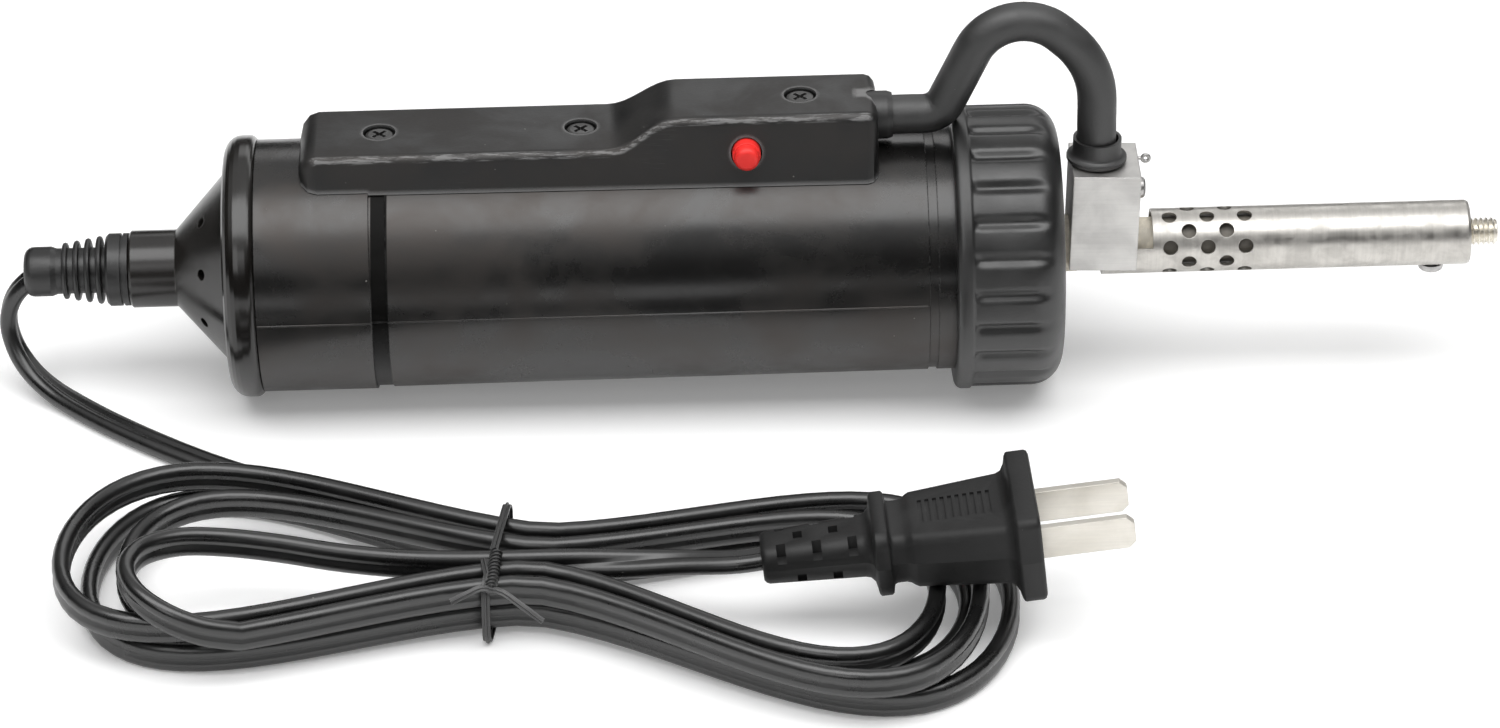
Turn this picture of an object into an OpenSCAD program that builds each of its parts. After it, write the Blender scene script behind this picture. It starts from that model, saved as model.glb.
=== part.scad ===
// Electric desoldering iron with a built-in suction pump, lying on a table
// with its cord folded into a tied hank beside it. Sizes are millimetres.
// +X runs from the cord end to the nozzle stud and +Z is up. The origin is
// on the table, below the middle of the tool.

/* [Barrel] */
// outside diameter of the grip tube at its front end
tube_front_d = 48.1; // [40:0.1:60]
// how much wider the grip tube is at its back end
tube_taper = 0.9; // [0:0.1:3]
// step on the radius from the tube up to the short skirt next to the rear cap
skirt_step = 0.3; // [0.1:0.05:2]
// length of the skirt
skirt_len = 22.2; // [10:0.1:40]
// depth of the shallow band in front of the skirt
band_depth = 0.3; // [0.1:0.05:1]
// width of the band
band_w = 3.2; // [1:0.1:8]
// length of the grip tube, up to the lip of the front cap
tube_len = 110.2; // [60:0.1:160]
// wall of the barrel
barrel_wall = 2.4; // [1.5:0.1:4]
// width of the groove turned near the front end of the tube
groove_w = 1.8; // [0.5:0.1:4]
// depth of that groove
groove_depth = 0.4; // [0.1:0.05:1]
// distance from that groove to the lip of the front cap
groove_back = 3.4; // [1:0.1:10]
// length of plain tube that the lip of the cap slides over
tube_overlap = 1.8; // [0.5:0.1:4]
// step on the radius down to the screwed neck inside the front cap
neck_step = 0.85; // [0.4:0.05:1.5]
// length of the screwed neck
neck_len = 12.4; // [6:0.1:20]

/* [Rear cap] */
// outside diameter of the sleeve that holds the cord boot
rear_neck_d = 15.2; // [10:0.1:24]
// length of that sleeve
rear_neck_len = 9.4; // [4:0.1:20]
// length of the cone
cone_len = 10.2; // [5:0.1:30]
// width of the flat shelf from the cone out to the edge of the rim
cone_shelf = 6.75; // [4:0.05:12]
// how far the rounded rim stands out past the skirt
rim_stand = 0.95; // [0.2:0.05:4]
// width of the rim along the tool
rim_w = 6.4; // [3:0.1:12]
// radius of the rounding on the rear edge of the rim
rim_round = 3.4; // [1:0.1:6]
// radius of the rounding on the front edge of the rim
rim_front_round = 1.6; // [0.5:0.1:3]
// wall of the rear cap
rear_wall = 2.2; // [1.2:0.1:4]
// length of the spigot that plugs into the barrel
spigot_len = 8; // [4:0.1:16]
// diameter of each cooling vent in the cone
vent_d = 2.1; // [1:0.1:4]
// how far outside the middle of the cone the ring of vents lies
vent_rise = 1; // [0:0.1:3]
// number of cooling vents
vent_count = 8; // [4:1:16]

/* [Cord boot] */
// length of the rubber boot outside the rear cap
boot_len = 20.6; // [12:0.1:40]
// diameter of the rounded bulb at the cord end
bulb_d = 9.8; // [6:0.1:16]
// length of the bulb
bulb_len = 6.4; // [3:0.1:12]
// diameter of the core between the ribs
boot_core_d = 9; // [6:0.1:14]
// number of ribs
boot_rib_count = 4; // [2:1:8]
// distance from one rib to the next
boot_rib_pitch = 2.25; // [1.5:0.05:4]
// width of a rib
boot_rib_w = 1.1; // [0.5:0.05:2]
// diameter of the rib nearest the bulb
boot_rib_back_d = 11.2; // [8:0.1:18]
// diameter of the rib nearest the collar
boot_rib_front_d = 13.4; // [8:0.1:18]
// diameter of the collar
boot_collar_d = 14.3; // [10:0.1:20]
// length of the collar
boot_collar_len = 4.4; // [2:0.1:8]
// width of the groove round the collar
boot_groove_w = 0.5; // [0.2:0.05:1]
// diameter of the stem inside the rear cap
boot_stem_d = 8.6; // [6:0.1:12]
// length of the stem inside the rear cap
boot_stem_len = 6; // [3:0.1:9]

/* [Handle] */
// distance from the rim of the rear cap to the handle
handle_gap = 8.8; // [0:0.1:30]
// distance from the front of the handle to the front cap
handle_front_gap = 14.4; // [6:0.1:30]
// height of the rear deck above the grip tube
deck_low_rise = 4.75; // [3:0.05:10]
// height of the front deck above the grip tube
deck_high_rise = 10.45; // [8:0.05:18]
// depth below the top of the grip tube at which the width of the handle is measured
foot_depth = 2.85; // [1:0.05:6]
// depth of the lower edge of its walls, which the barrel cuts to fit
root_depth = 7.05; // [5:0.05:12]
// width of the handle where it meets the barrel
handle_w = 24.4; // [16:0.1:32]
// slope of the handle sides
handle_draft = 13; // [2:0.5:20]
// start of the ramp as a share of the handle
ramp_share = 0.534; // [0.3:0.002:0.7]
// length of the ramp between the two decks
ramp_len = 13.4; // [8:0.1:30]
// rounding along the top edges
handle_round = 2; // [0.5:0.1:4]
// rounding of the rear end
handle_back_round = 3.6; // [1:0.1:6]
// rounding of the front end
handle_front_round = 2.2; // [1:0.1:6]
// wall of the handle
handle_wall = 2.1; // [1.2:0.1:4]
// places of the three screws as shares of the handle
screw_shares = [0.139, 0.4875, 0.868];
// diameter of the head of a handle screw
screw_head_d = 5.8; // [4:0.1:8]
// height of the head of a handle screw
screw_head_h = 1.5; // [0.8:0.1:3]
// diameter of the shank of a handle screw
screw_d = 2.8; // [2:0.1:4]
// depth of the round recess for each head
recess_depth = 1.9; // [1:0.1:4]
// width of an arm of the cross slot
slot_w = 0.8; // [0.4:0.05:1.5]
// length of the cross slot
slot_len = 3.4; // [2:0.1:5]
// depth of the cross slot
slot_depth = 0.9; // [0.4:0.05:1.5]

/* [Push button] */
// place of the button as a share of the handle
button_share = 0.772; // [0.6:0.002:0.9]
// height of the button above the grip tube
button_rise = 3.55; // [3:0.05:6]
// diameter of the red button
button_d = 5.5; // [4:0.1:9]
// diameter of the domed end of the button
button_tip_d = 4.9; // [3:0.1:8]
// how far the button stands out of the side of the handle
button_stand = 3.48; // [2.5:0.02:6]
// length of the domed end
button_tip_len = 1.1; // [0.5:0.1:3]
// travel of the button
button_travel = 2.2; // [1:0.1:3]
// diameter of the flange that keeps the button in
button_flange_d = 7.1; // [6:0.1:11]
// thickness of that flange
button_flange_t = 1; // [0.5:0.1:2]
// diameter of the stem that presses the switch
stem_d = 2.4; // [1.5:0.1:4]
// how far the stem reaches inside the switch
stem_in = 4.8; // [3:0.1:6]
// length of the switch along the tool
switch_len = 12; // [8:0.1:20]
// depth of the switch across the tool
switch_depth = 9; // [6:0.1:14]
// height of the switch
switch_h = 6.4; // [4:0.1:8]
// diameter of the wire of the button spring
button_wire = 0.4; // [0.2:0.05:0.8]
// curls of the button spring
button_curls = 3; // [2:1:6]

/* [Wire sleeve] */
// outside diameter of the rubber sleeve
sleeve_d = 7.7; // [5:0.1:12]
// bore of the rubber sleeve
sleeve_bore = 4.6; // [2:0.1:8]
// height of the sleeve above the grip tube
sleeve_lift = 5.55; // [4:0.05:8]
// straight run out of the handle
sleeve_run = 9.1; // [4:0.1:20]
// radius of the first bend, which turns up
bend_up_r = 5; // [4.2:0.1:20]
// angle of the first bend
bend_up_turn = 64.4; // [30:0.1:85]
// straight run up to the arch
sleeve_rise = 11.6; // [2:0.1:30]
// radius of the rear part of the arch
arch_back_r = 10.7; // [6:0.1:30]
// angle of the rear part of the arch
arch_back_turn = 106.5; // [60:0.1:130]
// straight run between the two parts of the arch
arch_mid = 2.1; // [0.5:0.1:10]
// distance of the sleeve's lower end in front of the middle of the bracket, at its foot
sleeve_shift = -1.065; // [-2:0.005:2]
// diameter of the collar where the sleeve leaves the handle
collar_d = 9.4; // [8:0.1:14]
// length of the collar outside the handle
collar_len = 3; // [1:0.1:8]
// diameter of the flared foot on the bracket
foot_d = 11.8; // [9:0.1:16]
// height of the flared foot
foot_len = 5; // [2:0.1:8]
// thickness of the rim of the foot
foot_rim = 1.2; // [0.5:0.1:3]
// wall of the foot round the sleeve
foot_wall = 0.6; // [0.3:0.05:1.5]

/* [Front cap] */
// how far the lip of the front cap stands out past the tube
cap_stand = 4.05; // [2:0.05:8]
// length of the front cap
cap_len = 21.2; // [12:0.1:40]
// width of the smooth lip
lip_w = 3.6; // [1:0.1:8]
// rounding of the lip
lip_round = 1.4; // [0.4:0.1:1.7]
// how far the ribs stay inside the lip, on the radius
rib_drop = 0.15; // [0:0.05:1]
// number of grip ribs round the cap
rib_count = 24; // [12:1:40]
// diameter of the round back of each rib
rib_d = 15; // [8:0.1:30]
// radius of the shoulder
shoulder_r = 6.2; // [2:0.1:10]
// wall of the front face
face_wall = 3; // [1.2:0.1:5]
// diameter of the hole for the head
face_hole_d = 13; // [8:0.1:24]
// lead of the cap thread, per turn
thread_lead = 3; // [1:0.1:6]
// turns that take the cap off
thread_turns = 2; // [1:0.5:4]

/* [Bracket] */
// gap between the front cap and the bracket
bracket_gap = 1.8; // [0.5:0.1:5]
// length of the bracket along the tool
bracket_len = 13.2; // [8:0.1:24]
// width of the bracket
bracket_w = 14.7; // [14:0.1:24]
// height of the top of the bracket above the middle of the tool
bracket_top = 18.2; // [12:0.1:26]
// depth of the bracket below the middle of the tool
bracket_drop = 2.4; // [0:0.1:6]
// thickness of the sheet
sheet = 0.7; // [0.4:0.05:1.5]
// forward lean of the hand-bent bracket
bracket_lean = 2; // [0:0.5:6]
// height of the clamp screw above the middle of the tool
clamp_h = 12.2; // [8:0.1:16]
// diameter of the head of the clamp screw
clamp_head_d = 4.2; // [3:0.1:6]
// height of the head of the clamp screw
clamp_head_h = 1.5; // [0.5:0.1:3]
// diameter of the shank of the clamp screw
clamp_d = 2.4; // [1.5:0.1:4]
// diameter of the split pin
pin_d = 0.7; // [0.5:0.1:2]
// distance of the split pin from the middle of the bracket
pin_side = 4; // [2:0.1:6]
// height of the split pin above the middle of the tool
pin_h = 16.6; // [10:0.1:20]
// length of the clamp screw inside the bracket
clamp_in = 4.4; // [2:0.1:8]
// length of the split pin outside the bracket
pin_len = 1.1; // [0.5:0.1:4]

/* [Heater] */
// distance from the bracket to the full tube
tongue_len = 3.3; // [1:0.1:8]
// length of the full tube
shell_len = 62.6; // [40:0.1:90]
// outside diameter of the perforated tube
shell_d = 12.7; // [8:0.1:20]
// wall of the tube
shell_wall = 0.55; // [0.3:0.05:1]
// height of the edges of the half tube that reaches into the bracket
tongue_top = 1.4; // [-3:0.1:4]
// angle of the first row of cooling holes
hole_phase = -14; // [-30:1:30]
// diameter of each cooling hole
hole_d = 2.9; // [1:0.1:4]
// rows of cooling holes round the tube
hole_rows = 12; // [6:2:16]
// distance along the tube between holes of one row
hole_pitch = 7.4; // [4:0.1:12]
// distance from the rear end of the full tube to the first hole
hole_from = 3.4; // [2:0.1:10]
// outside diameter of the ceramic tube
ceramic_d = 9.4; // [6:0.1:12]
// outside diameter of the ceramic washer behind the bracket
washer_d = 11.2; // [8:0.1:14]
// diameter of the threaded stud that takes a nozzle
stud_d = 5.5; // [4:0.1:8]
// length of the stud
stud_len = 5.7; // [3:0.1:12]
// length of the metal holder behind the stud
holder_len = 13; // [6:0.1:30]
// bevel at the end of the stud
stud_bevel = 0.5; // [0.1:0.05:1]
// distance of the set screw from the front end of the tube
set_from = 7; // [4:0.1:12]
// diameter of the head of the set screw
set_head_d = 5; // [3:0.1:7]
// height of the head of the set screw
set_head_h = 1.5; // [0.5:0.1:3]
// diameter of the shank of the set screw
set_d = 2.6; // [1.5:0.1:4]
// outside diameter of the suction pipe
pipe_d = 5; // [3:0.1:8]
// bore of the suction pipe
suction_d = 2.4; // [1:0.1:4]

/* [Pump] */
// thickness of the flange on the suction pipe
flange_t = 2.4; // [1:0.1:5]
// how far the flange stays inside the screwed neck
flange_inset = 0.7; // [0.3:0.05:2]
// thickness of the gasket
gasket_t = 1.4; // [0.5:0.1:3]
// radial width of the gasket
gasket_w = 2; // [1:0.1:4]
// thickness of the filter pad
filter_t = 3.6; // [1:0.1:8]
// gap round the filter pad
filter_gap = 1.3; // [0.5:0.1:4]
// length of the pump cylinder
pump_len = 54; // [30:0.1:80]
// wall of the pump cylinder
pump_wall = 2.2; // [1:0.1:4]
// thickness of the stop lip in the cylinder
stop_t = 2; // [1:0.1:4]
// radial width of the stop lip
stop_w = 3; // [1:0.1:6]
// distance from the front end of the cylinder to the stop lip
stop_from = 4; // [1:0.1:8]
// thickness of the piston
piston_t = 6; // [3:0.1:12]
// thickness of the seal ring in the piston
seal_t = 2.4; // [1:0.1:4]
// depth of the groove for the seal ring
seal_groove = 1.8; // [1:0.1:4]
// stroke of the piston
stroke = 12; // [5:0.1:20]
// diameter of the plunger inside the coil
plunger_d = 16; // [8:0.1:20]
// length of the plunger inside the coil
plunger_len = 42; // [20:0.1:60]
// diameter of the piston rod
rod_d = 7; // [4:0.1:12]
// length of the solenoid
coil_len = 50; // [30:0.1:70]
// thickness of the end plates of the solenoid
plate_t = 3; // [1:0.1:6]
// wall of the solenoid can
can_wall = 1.8; // [1:0.1:4]
// wall of the bobbin
bobbin_wall = 1.2; // [0.8:0.1:3]
// gap between the winding and the can
winding_gap = 2.4; // [0.5:0.1:4]
// diameter of the wire of the return spring
spring_wire = 1.4; // [0.8:0.1:3]
// mean diameter of the return spring
spring_d = 24; // [14:0.1:34]
// curls of the return spring
spring_curls = 7; // [4:1:12]

/* [Cord] */
// width of the flat twin cord
cord_w = 5.7; // [4:0.1:8]
// thickness of the flat twin cord
cord_t = 3.3; // [2:0.1:5]
// length of the hank
hank_len = 181; // [120:1:260]
// half width of the hank on each side of the tie, at its widest
hank_spread = 60; // [30:0.1:80]
// half width of the hank under the tie
hank_waist = 11.2; // [8:0.1:20]
// turns of cord in the hank
hank_turns = 3.7; // [1.7:1:5.7]
// step between loops at the ends of the hank
step_end = 8; // [5:0.1:12]
// step between loops under the tie
step_waist = 5.2; // [4:0.1:8]
// step between loops at the widest place
step_spread = 8; // [4:0.1:12]
// rise from the lower to the upper layer
layer_rise = 6.3; // [5:0.1:9]
// how much further in the inner loop lies while it climbs, in loops
loop_bulge = 0.3; // [0:0.05:0.5]
// shift of the upper layer towards the cord end of the tool
layer_back = 5; // [0:0.5:10]
// shift of the upper layer away from the tool
layer_side = 4; // [0:0.5:8]
// height that the tie lifts the cord
tie_lift = 1.3; // [1:0.1:3]
// angle of the hank on the table
hank_turn = -7.5; // [-30:0.5:30]
// width of the twist tie along the cord
tie_w = 2.6; // [1:0.1:5]
// thickness of the twist tie
tie_t = 0.9; // [0.5:0.1:2]
// height of the tie
tie_h = 14.6; // [10:0.1:30]
// height of its knot as a share of that
knot_share = 0.6; // [0.3:0.05:0.8]
// length of the twisted part
tie_twist = 4.6; // [2:0.1:8]
// reach of the loose ends along and away from the hank
tie_leg = 6.4; // [3:0.1:12]
// drop of the loose ends
tie_drop = 2.4; // [0.5:0.1:3]

/* [Plug] */
// length of the slotted grip
grip_len = 20.6; // [12:0.1:40]
// width and height of the grip at the cord end
grip_back = [9.6, 7.6];
// width and height of the grip at the disc
grip_front = [12.4, 9];
// width and height of the disc
disc = [19, 13.6];
// thickness of the disc
disc_t = 3; // [1:0.1:6]
// width of a slot in the grip
slot_across = 1.7; // [0.8:0.1:3]
// height of a tall slot
slot_tall = 5.4; // [3:0.1:7]
// depth of the slots
slot_deep = 1.2; // [0.5:0.1:2]
// places of the tall slots as shares of the grip
slot_shares = [0.18, 0.5, 0.82];
// share of the height that the eased corners of the plug take
ease_share = 0.35; // [0.1:0.05:0.45]
// length of the neck in front of the disc
plug_neck = 3.4; // [1:0.1:8]
// number of finger ribs on top
finger_ribs = 9; // [3:1:14]
// distance from one finger rib to the next
finger_pitch = 1.25; // [0.8:0.05:2]
// start of the finger ribs as a share of the body
rib_start_share = 0.1; // [0:0.05:0.5]
// width and height of the body behind the face
plug_mid = [22, 12.6];
// width and height of the body next to the disc
plug_waist = [15.6, 10.4];
// length of the body from the disc to the face flange
plug_len = 23; // [12:0.1:40]
// width and height of the face flange
face = [27, 17.6];
// thickness of the face flange
face_t = 4.6; // [2:0.1:8]
// length of a blade outside the plug
blade_len = 17.3; // [12:0.1:22]
// width of a blade
blade_w = 6.35; // [5:0.05:8]
// thickness of a blade
blade_t = 1.5; // [1:0.05:2]
// distance between the middles of the blades
blade_pitch = 12.7; // [10:0.1:16]
// height of the plug's middle at the cord end
plug_h = 14.8; // [6:0.1:20]
// upward tilt of the plug
plug_tilt = 6.5; // [0:0.5:20]
// sideways turn of the plug
plug_yaw = 1.5; // [-20:0.5:20]

/* [Fits] */
// clearance of a piece that plugs in
fit_gap = 0.15; // [0.05:0.05:0.5]
// clearance of the screw thread and of pieces that slide past others
slide_gap = 0.3; // [0.1:0.05:0.8]
// clearance of a shaft that runs in its bore
run_gap = 0.08; // [0.02:0.01:0.1]
// distance that a cut runs past the surface it cuts
overrun = 1; // [0.5:0.1:2]

/* [Hidden] */
$fn = 64;

// diameters that follow the grip tube
tube_back_d = tube_front_d + tube_taper;
skirt_d = tube_back_d + 2 * skirt_step;
band_d = tube_back_d - 2 * band_depth;
neck_d = tube_front_d - 2 * neck_step;
rim_d = skirt_d + 2 * rim_stand;
cone_end_d = rim_d - 2 * cone_shelf;
cap_d = tube_front_d + 2 * cap_stand;
vent_ring_d = (rear_neck_d + cone_end_d) / 2 + 2 * vent_rise;

// places along the tool, from the cord end of the boot
rear_neck_x = boot_len;
cone_x = rear_neck_x + rear_neck_len;
rim_x = cone_x + cone_len;
skirt_x = rim_x + rim_w;
band_x = skirt_x + skirt_len;
tube_x = band_x + band_w;
cap_x = tube_x + tube_len;
neck_x = cap_x + tube_overlap;
neck_end = neck_x + neck_len;
cap_end = cap_x + cap_len;
bracket_x = cap_end + bracket_gap;
bracket_end = bracket_x + bracket_len;
bracket_mid = bracket_x + bracket_len / 2;
tongue_x = bracket_mid;
shell_x = bracket_end + tongue_len;
shell_end = shell_x + shell_len;
holder_x = shell_end - holder_len;
tool_len = shell_end + stud_len;

// the tool lies on the lip of the front cap and the rim of the rear cap
rim_rest = [rim_x + rim_round, rim_d / 2 - rim_round];
lip_rest = [cap_x + lip_round, cap_d / 2 - lip_round];
rest_gap = lip_rest - rim_rest;
tilt = atan2(rest_gap[1], rest_gap[0]) + asin((lip_round - rim_round) / norm(rest_gap));
rest_h = rim_rest[1] * cos(tilt) + rim_round - rim_rest[0] * sin(tilt);

// the pump, from its front end backwards
bore_d = tube_front_d - 2 * barrel_wall;
flange_d = neck_d - 2 * flange_inset;
flange_x = neck_end + gasket_t;
pump_x = neck_end - pump_len;
pump_d = bore_d - 2 * fit_gap;
pump_bore = pump_d - 2 * pump_wall;
filter_d = pump_bore - 2 * stop_w - 2 * filter_gap;
piston_x = neck_end - stop_from - stop_t - piston_t - fit_gap;
plate_x = pump_x - plate_t - fit_gap;
can_x = plate_x - coil_len;
plunger_bore = plunger_d + 2 * run_gap;
bobbin_d = plunger_bore + 2 * bobbin_wall;
winding_t = (pump_d - 2 * can_wall - bobbin_d) / 2 - winding_gap;
pole_x = can_x + plate_t + stroke;
plunger_x = pole_x + stroke + slide_gap;

// the shoulder inside the barrel that the solenoid rests on
seat_x = can_x - fit_gap;
seat_d = bore_d - 2 * can_wall;

handle_x = skirt_x + handle_gap;
handle_end = cap_x - handle_front_gap;
handle_len = handle_end - handle_x;
deck_low = tube_front_d / 2 + deck_low_rise;
deck_high = tube_front_d / 2 + deck_high_rise;
handle_foot = tube_front_d / 2 - foot_depth;
handle_root = tube_front_d / 2 - root_depth;
ramp_from = ramp_share * handle_len;
screw_places = handle_len * screw_shares;
button_x = handle_x + button_share * handle_len;
button_h = tube_front_d / 2 + button_rise;
sleeve_h = tube_front_d / 2 + sleeve_lift;

// the button stands on a flange just behind the wall of the handle
button_side = handle_w / 2 - (button_h - handle_foot) * tan(handle_draft);
button_reach = button_side + button_stand;
flange_out = button_side - handle_wall - slide_gap - button_flange_d / 2 * tan(handle_draft);
switch_out = flange_out - button_flange_t - button_travel - 2 * slide_gap - 3 * button_wire;

// the front part of the arch is as wide as it takes to come down on the bracket
foot_x = sleeve_shift - bracket_top * sin(bracket_lean);
arch_from_x = handle_end + sleeve_run
    + bend_up_r * sin(bend_up_turn)
    + sleeve_rise * cos(bend_up_turn)
    + arch_back_r * (sin(bend_up_turn) + sin(arch_back_turn - bend_up_turn))
    + arch_mid * cos(arch_back_turn - bend_up_turn);
arch_front_r = (bracket_mid + sleeve_shift - arch_from_x) / (1 - sin(arch_back_turn - bend_up_turn));
arch_front_turn = 90 + bend_up_turn - arch_back_turn;
sleeve_top = sleeve_h
    + bend_up_r * (1 - cos(bend_up_turn))
    + sleeve_rise * sin(bend_up_turn)
    + arch_back_r * (cos(arch_back_turn - bend_up_turn) - cos(bend_up_turn))
    - arch_mid * sin(arch_back_turn - bend_up_turn)
    - arch_front_r * cos(arch_back_turn - bend_up_turn);

// hand-picked places of the hank on the table
hank_middle = [-44, -86.5];
hank_from = 118;
hank_rings = 24;
tie_along = -8;

// hand-picked route of the cord from the boot to the hank
lead_route = [
  [-139.5, 0, 25.3, 0, 0], [-143.4, 0, 23.8, 0, 25], [-146.6, 0.2, 20.8, 0, 45],
  [-148.4, 0.4, 17.2, 0, 70], [-148.9, 0.2, 13.6, 0, 90], [-148.2, -0.8, 10.2, 0, 110],
  [-146.6, -2.4, 7.2, 0, 130], [-144, -4.8, 4.6, 0, 145], [-140.4, -8, 2.8, 0, 160],
  [-136, -12, 1.9, 0, 175], [-128.4, -19.4, 1.7, 0, 180], [-119, -27.6, 1.7, 0, 180],
  [-109.4, -35, 1.7, 0, 180], [-99.8, -42.4, 2.2, 15, 180], [-91, -49, 2.8, 55, 180]];

// hand-picked route of the cord from the hank to the plug
tail_route = [
  [-104.8, -111.2, 11.4, 90, 0], [-111.4, -110, 13.8, 90, 0], [-117, -105.4, 15.7, 90, 0],
  [-119.2, -98, 16.2, 90, 0], [-116.8, -90.8, 15.9, 90, 0], [-110.4, -86, 15, 90, 0],
  [-102, -84.4, 13.8, 90, 0], [-92, -84.8, 12.6, 90, 0], [-81, -86.4, 11.4, 90, 0],
  [-70, -87.6, 10.7, 90, 0], [-59, -88, 10.4, 90, 0], [-48, -88, 10.4, 85, 0],
  [-37, -88.6, 10.7, 65, 0], [-27, -90.2, 11.5, 35, 0], [-17.6, -92, 12.7, 10, 0]];

// where the cord enters the plug
plug_place = [-2.7, -94.3];

// sets the tool down on the table with the origin below its middle
module lie_down() {
  translate([-tool_len / 2, 0, rest_h]) rotate([0, -tilt, 0]) children();
}

// a solid turned about the long axis, from points [radius, place along the axis]
module turned(points) {
  rotate([0, 90, 0]) rotate_extrude() polygon(points);
}

// a plain rod along the tool
module rod(d, from, to) {
  translate([from, 0, 0]) rotate([0, 90, 0]) cylinder(d = d, h = to - from);
}

// a plain tube along the tool
module pipe(outer, inner, from, to) {
  difference() {
    rod(outer, from, to);
    rod(inner, from - overrun, to + overrun);
  }
}

// points of an arc [radius, place] about a centre, for the outlines of turned pieces
function arc(centre, r, from, to, steps = 6) =
  [for (i = [0 : steps]) centre + r * [cos(from + (to - from) * i / steps), sin(from + (to - from) * i / steps)]];

// triangles of a tube of rings with n points each, closed at both ends
function skin(n, rings) = concat(
  [for (j = [0 : rings - 2], i = [0 : n - 1]) [j * n + i, (j + 1) * n + i, j * n + (i + 1) % n]],
  [for (j = [0 : rings - 2], i = [0 : n - 1]) [(j + 1) * n + i, (j + 1) * n + (i + 1) % n, j * n + (i + 1) % n]],
  [for (i = [1 : n - 2]) [0, i, i + 1]],
  [for (i = [1 : n - 2]) [(rings - 1) * n, (rings - 1) * n + i + 1, (rings - 1) * n + i]]);

// Barrel

function tube_d_at(x) = tube_back_d + (tube_front_d - tube_back_d) * (x - tube_x) / (neck_x - tube_x);

module barrel() {
  groove_end = cap_x - groove_back;
  groove_start = groove_end - groove_w;
  groove_d = tube_d_at(groove_start) - 2 * groove_depth;
  color("#1c1c1e") lie_down() difference() {
    turned([[bore_d / 2, skirt_x], [skirt_d / 2, skirt_x], [skirt_d / 2, band_x],
            [band_d / 2, band_x], [band_d / 2, tube_x], [tube_back_d / 2, tube_x],
            [tube_d_at(groove_start) / 2, groove_start], [groove_d / 2, groove_start],
            [groove_d / 2, groove_end], [tube_d_at(groove_end) / 2, groove_end],
            [tube_front_d / 2, neck_x], [neck_d / 2, neck_x], [neck_d / 2, neck_end],
            [bore_d / 2, neck_end], [bore_d / 2, seat_x], [seat_d / 2, seat_x],
            [seat_d / 2, seat_x - plate_t], [bore_d / 2, seat_x - plate_t]]);
    for (place = screw_places) {
      translate([handle_x + place, 0, 0]) cylinder(d = screw_d + 2 * run_gap, h = deck_high);
    }
  }
}

// Rear cap

module rear_cap() {
  spigot_d = bore_d - 2 * fit_gap;
  cone_slope = atan2(cone_len, (cone_end_d - rear_neck_d) / 2);
  color("#161618") lie_down() difference() {
    turned(concat(
      [[boot_stem_d / 2 + fit_gap, rear_neck_x + fit_gap], [rear_neck_d / 2 - overrun / 2, rear_neck_x + fit_gap],
       [rear_neck_d / 2, rear_neck_x + fit_gap + overrun / 2], [rear_neck_d / 2, cone_x],
       [cone_end_d / 2, rim_x]],
      arc([rim_d / 2 - rim_round, rim_x + rim_round], rim_round, -90, 0),
      arc([rim_d / 2 - rim_front_round, skirt_x - rim_front_round], rim_front_round, 0, 90),
      [[spigot_d / 2, skirt_x], [spigot_d / 2, skirt_x + spigot_len],
       [spigot_d / 2 - rear_wall, skirt_x + spigot_len], [spigot_d / 2 - rear_wall, skirt_x],
       [cone_end_d / 2 - rear_wall, rim_x + rear_wall],
       [rear_neck_d / 2 - rear_wall, cone_x + rear_wall],
       [boot_stem_d / 2 + fit_gap, cone_x + rear_wall]]));
    for (i = [0 : vent_count - 1]) {
      rotate([(i + 1 / 2) * 360 / vent_count, 0, 0])
        translate([rim_x - cone_len / 2, 0, vent_ring_d / 2])
        rotate([0, cone_slope - 90, 0])
        translate([0, 0, -cone_len / 2]) cylinder(d = vent_d, h = cone_len);
    }
  }
}

// Cord boot

// ribs grow from the bulb to the collar, each with a round back
function boot_rib(i) =
  let (mid = bulb_len + boot_rib_pitch * (i + 1) - boot_rib_w / 2,
       share = i / (boot_rib_count - 1),
       r = (boot_rib_back_d + (boot_rib_front_d - boot_rib_back_d) * share - boot_rib_w) / 2)
  concat([[boot_core_d / 2, mid - boot_rib_w / 2]],
         arc([r, mid], boot_rib_w / 2, -90, 90, 4),
         [[boot_core_d / 2, mid + boot_rib_w / 2]]);

module strain_relief() {
  collar_x = boot_len - boot_collar_len;
  groove_x = boot_len - boot_groove_w * 3;
  bulb_round = min(bulb_d / 4, (bulb_d - cord_w) / 2 - fit_gap);
  color("#202021") lie_down() turned(concat(
    [[cord_w / 2, 0]],
    arc([bulb_d / 2 - bulb_round, bulb_round], bulb_round, -90, 0),
    [[bulb_d / 2, bulb_len - boot_rib_w], [boot_core_d / 2, bulb_len]],
    [for (i = [0 : boot_rib_count - 1]) each boot_rib(i)],
    [[boot_core_d / 2, collar_x], [boot_collar_d / 2 - boot_rib_w / 2, collar_x],
     [boot_collar_d / 2, collar_x + boot_rib_w / 2],
     [boot_collar_d / 2, groove_x], [boot_collar_d / 2 - boot_groove_w, groove_x],
     [boot_collar_d / 2 - boot_groove_w, groove_x + boot_groove_w],
     [boot_collar_d / 2, groove_x + boot_groove_w], [boot_collar_d / 2, boot_len],
     [boot_stem_d / 2, boot_len], [boot_stem_d / 2, boot_len + boot_stem_len],
     [cord_w / 2, boot_len + boot_stem_len]]));
}

// Handle

// half width of the drafted sides at a height above the middle of the barrel
function side_at(h) = handle_w / 2 - (h - handle_foot) * tan(handle_draft);

// height of the deck at a distance from the rear of the handle, with its curved ramp
function deck_at(s) =
  deck_low + (deck_high - deck_low) * (1 - cos(180 * min(1, max(0, (s - ramp_from) / ramp_len)))) / 2;

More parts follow.
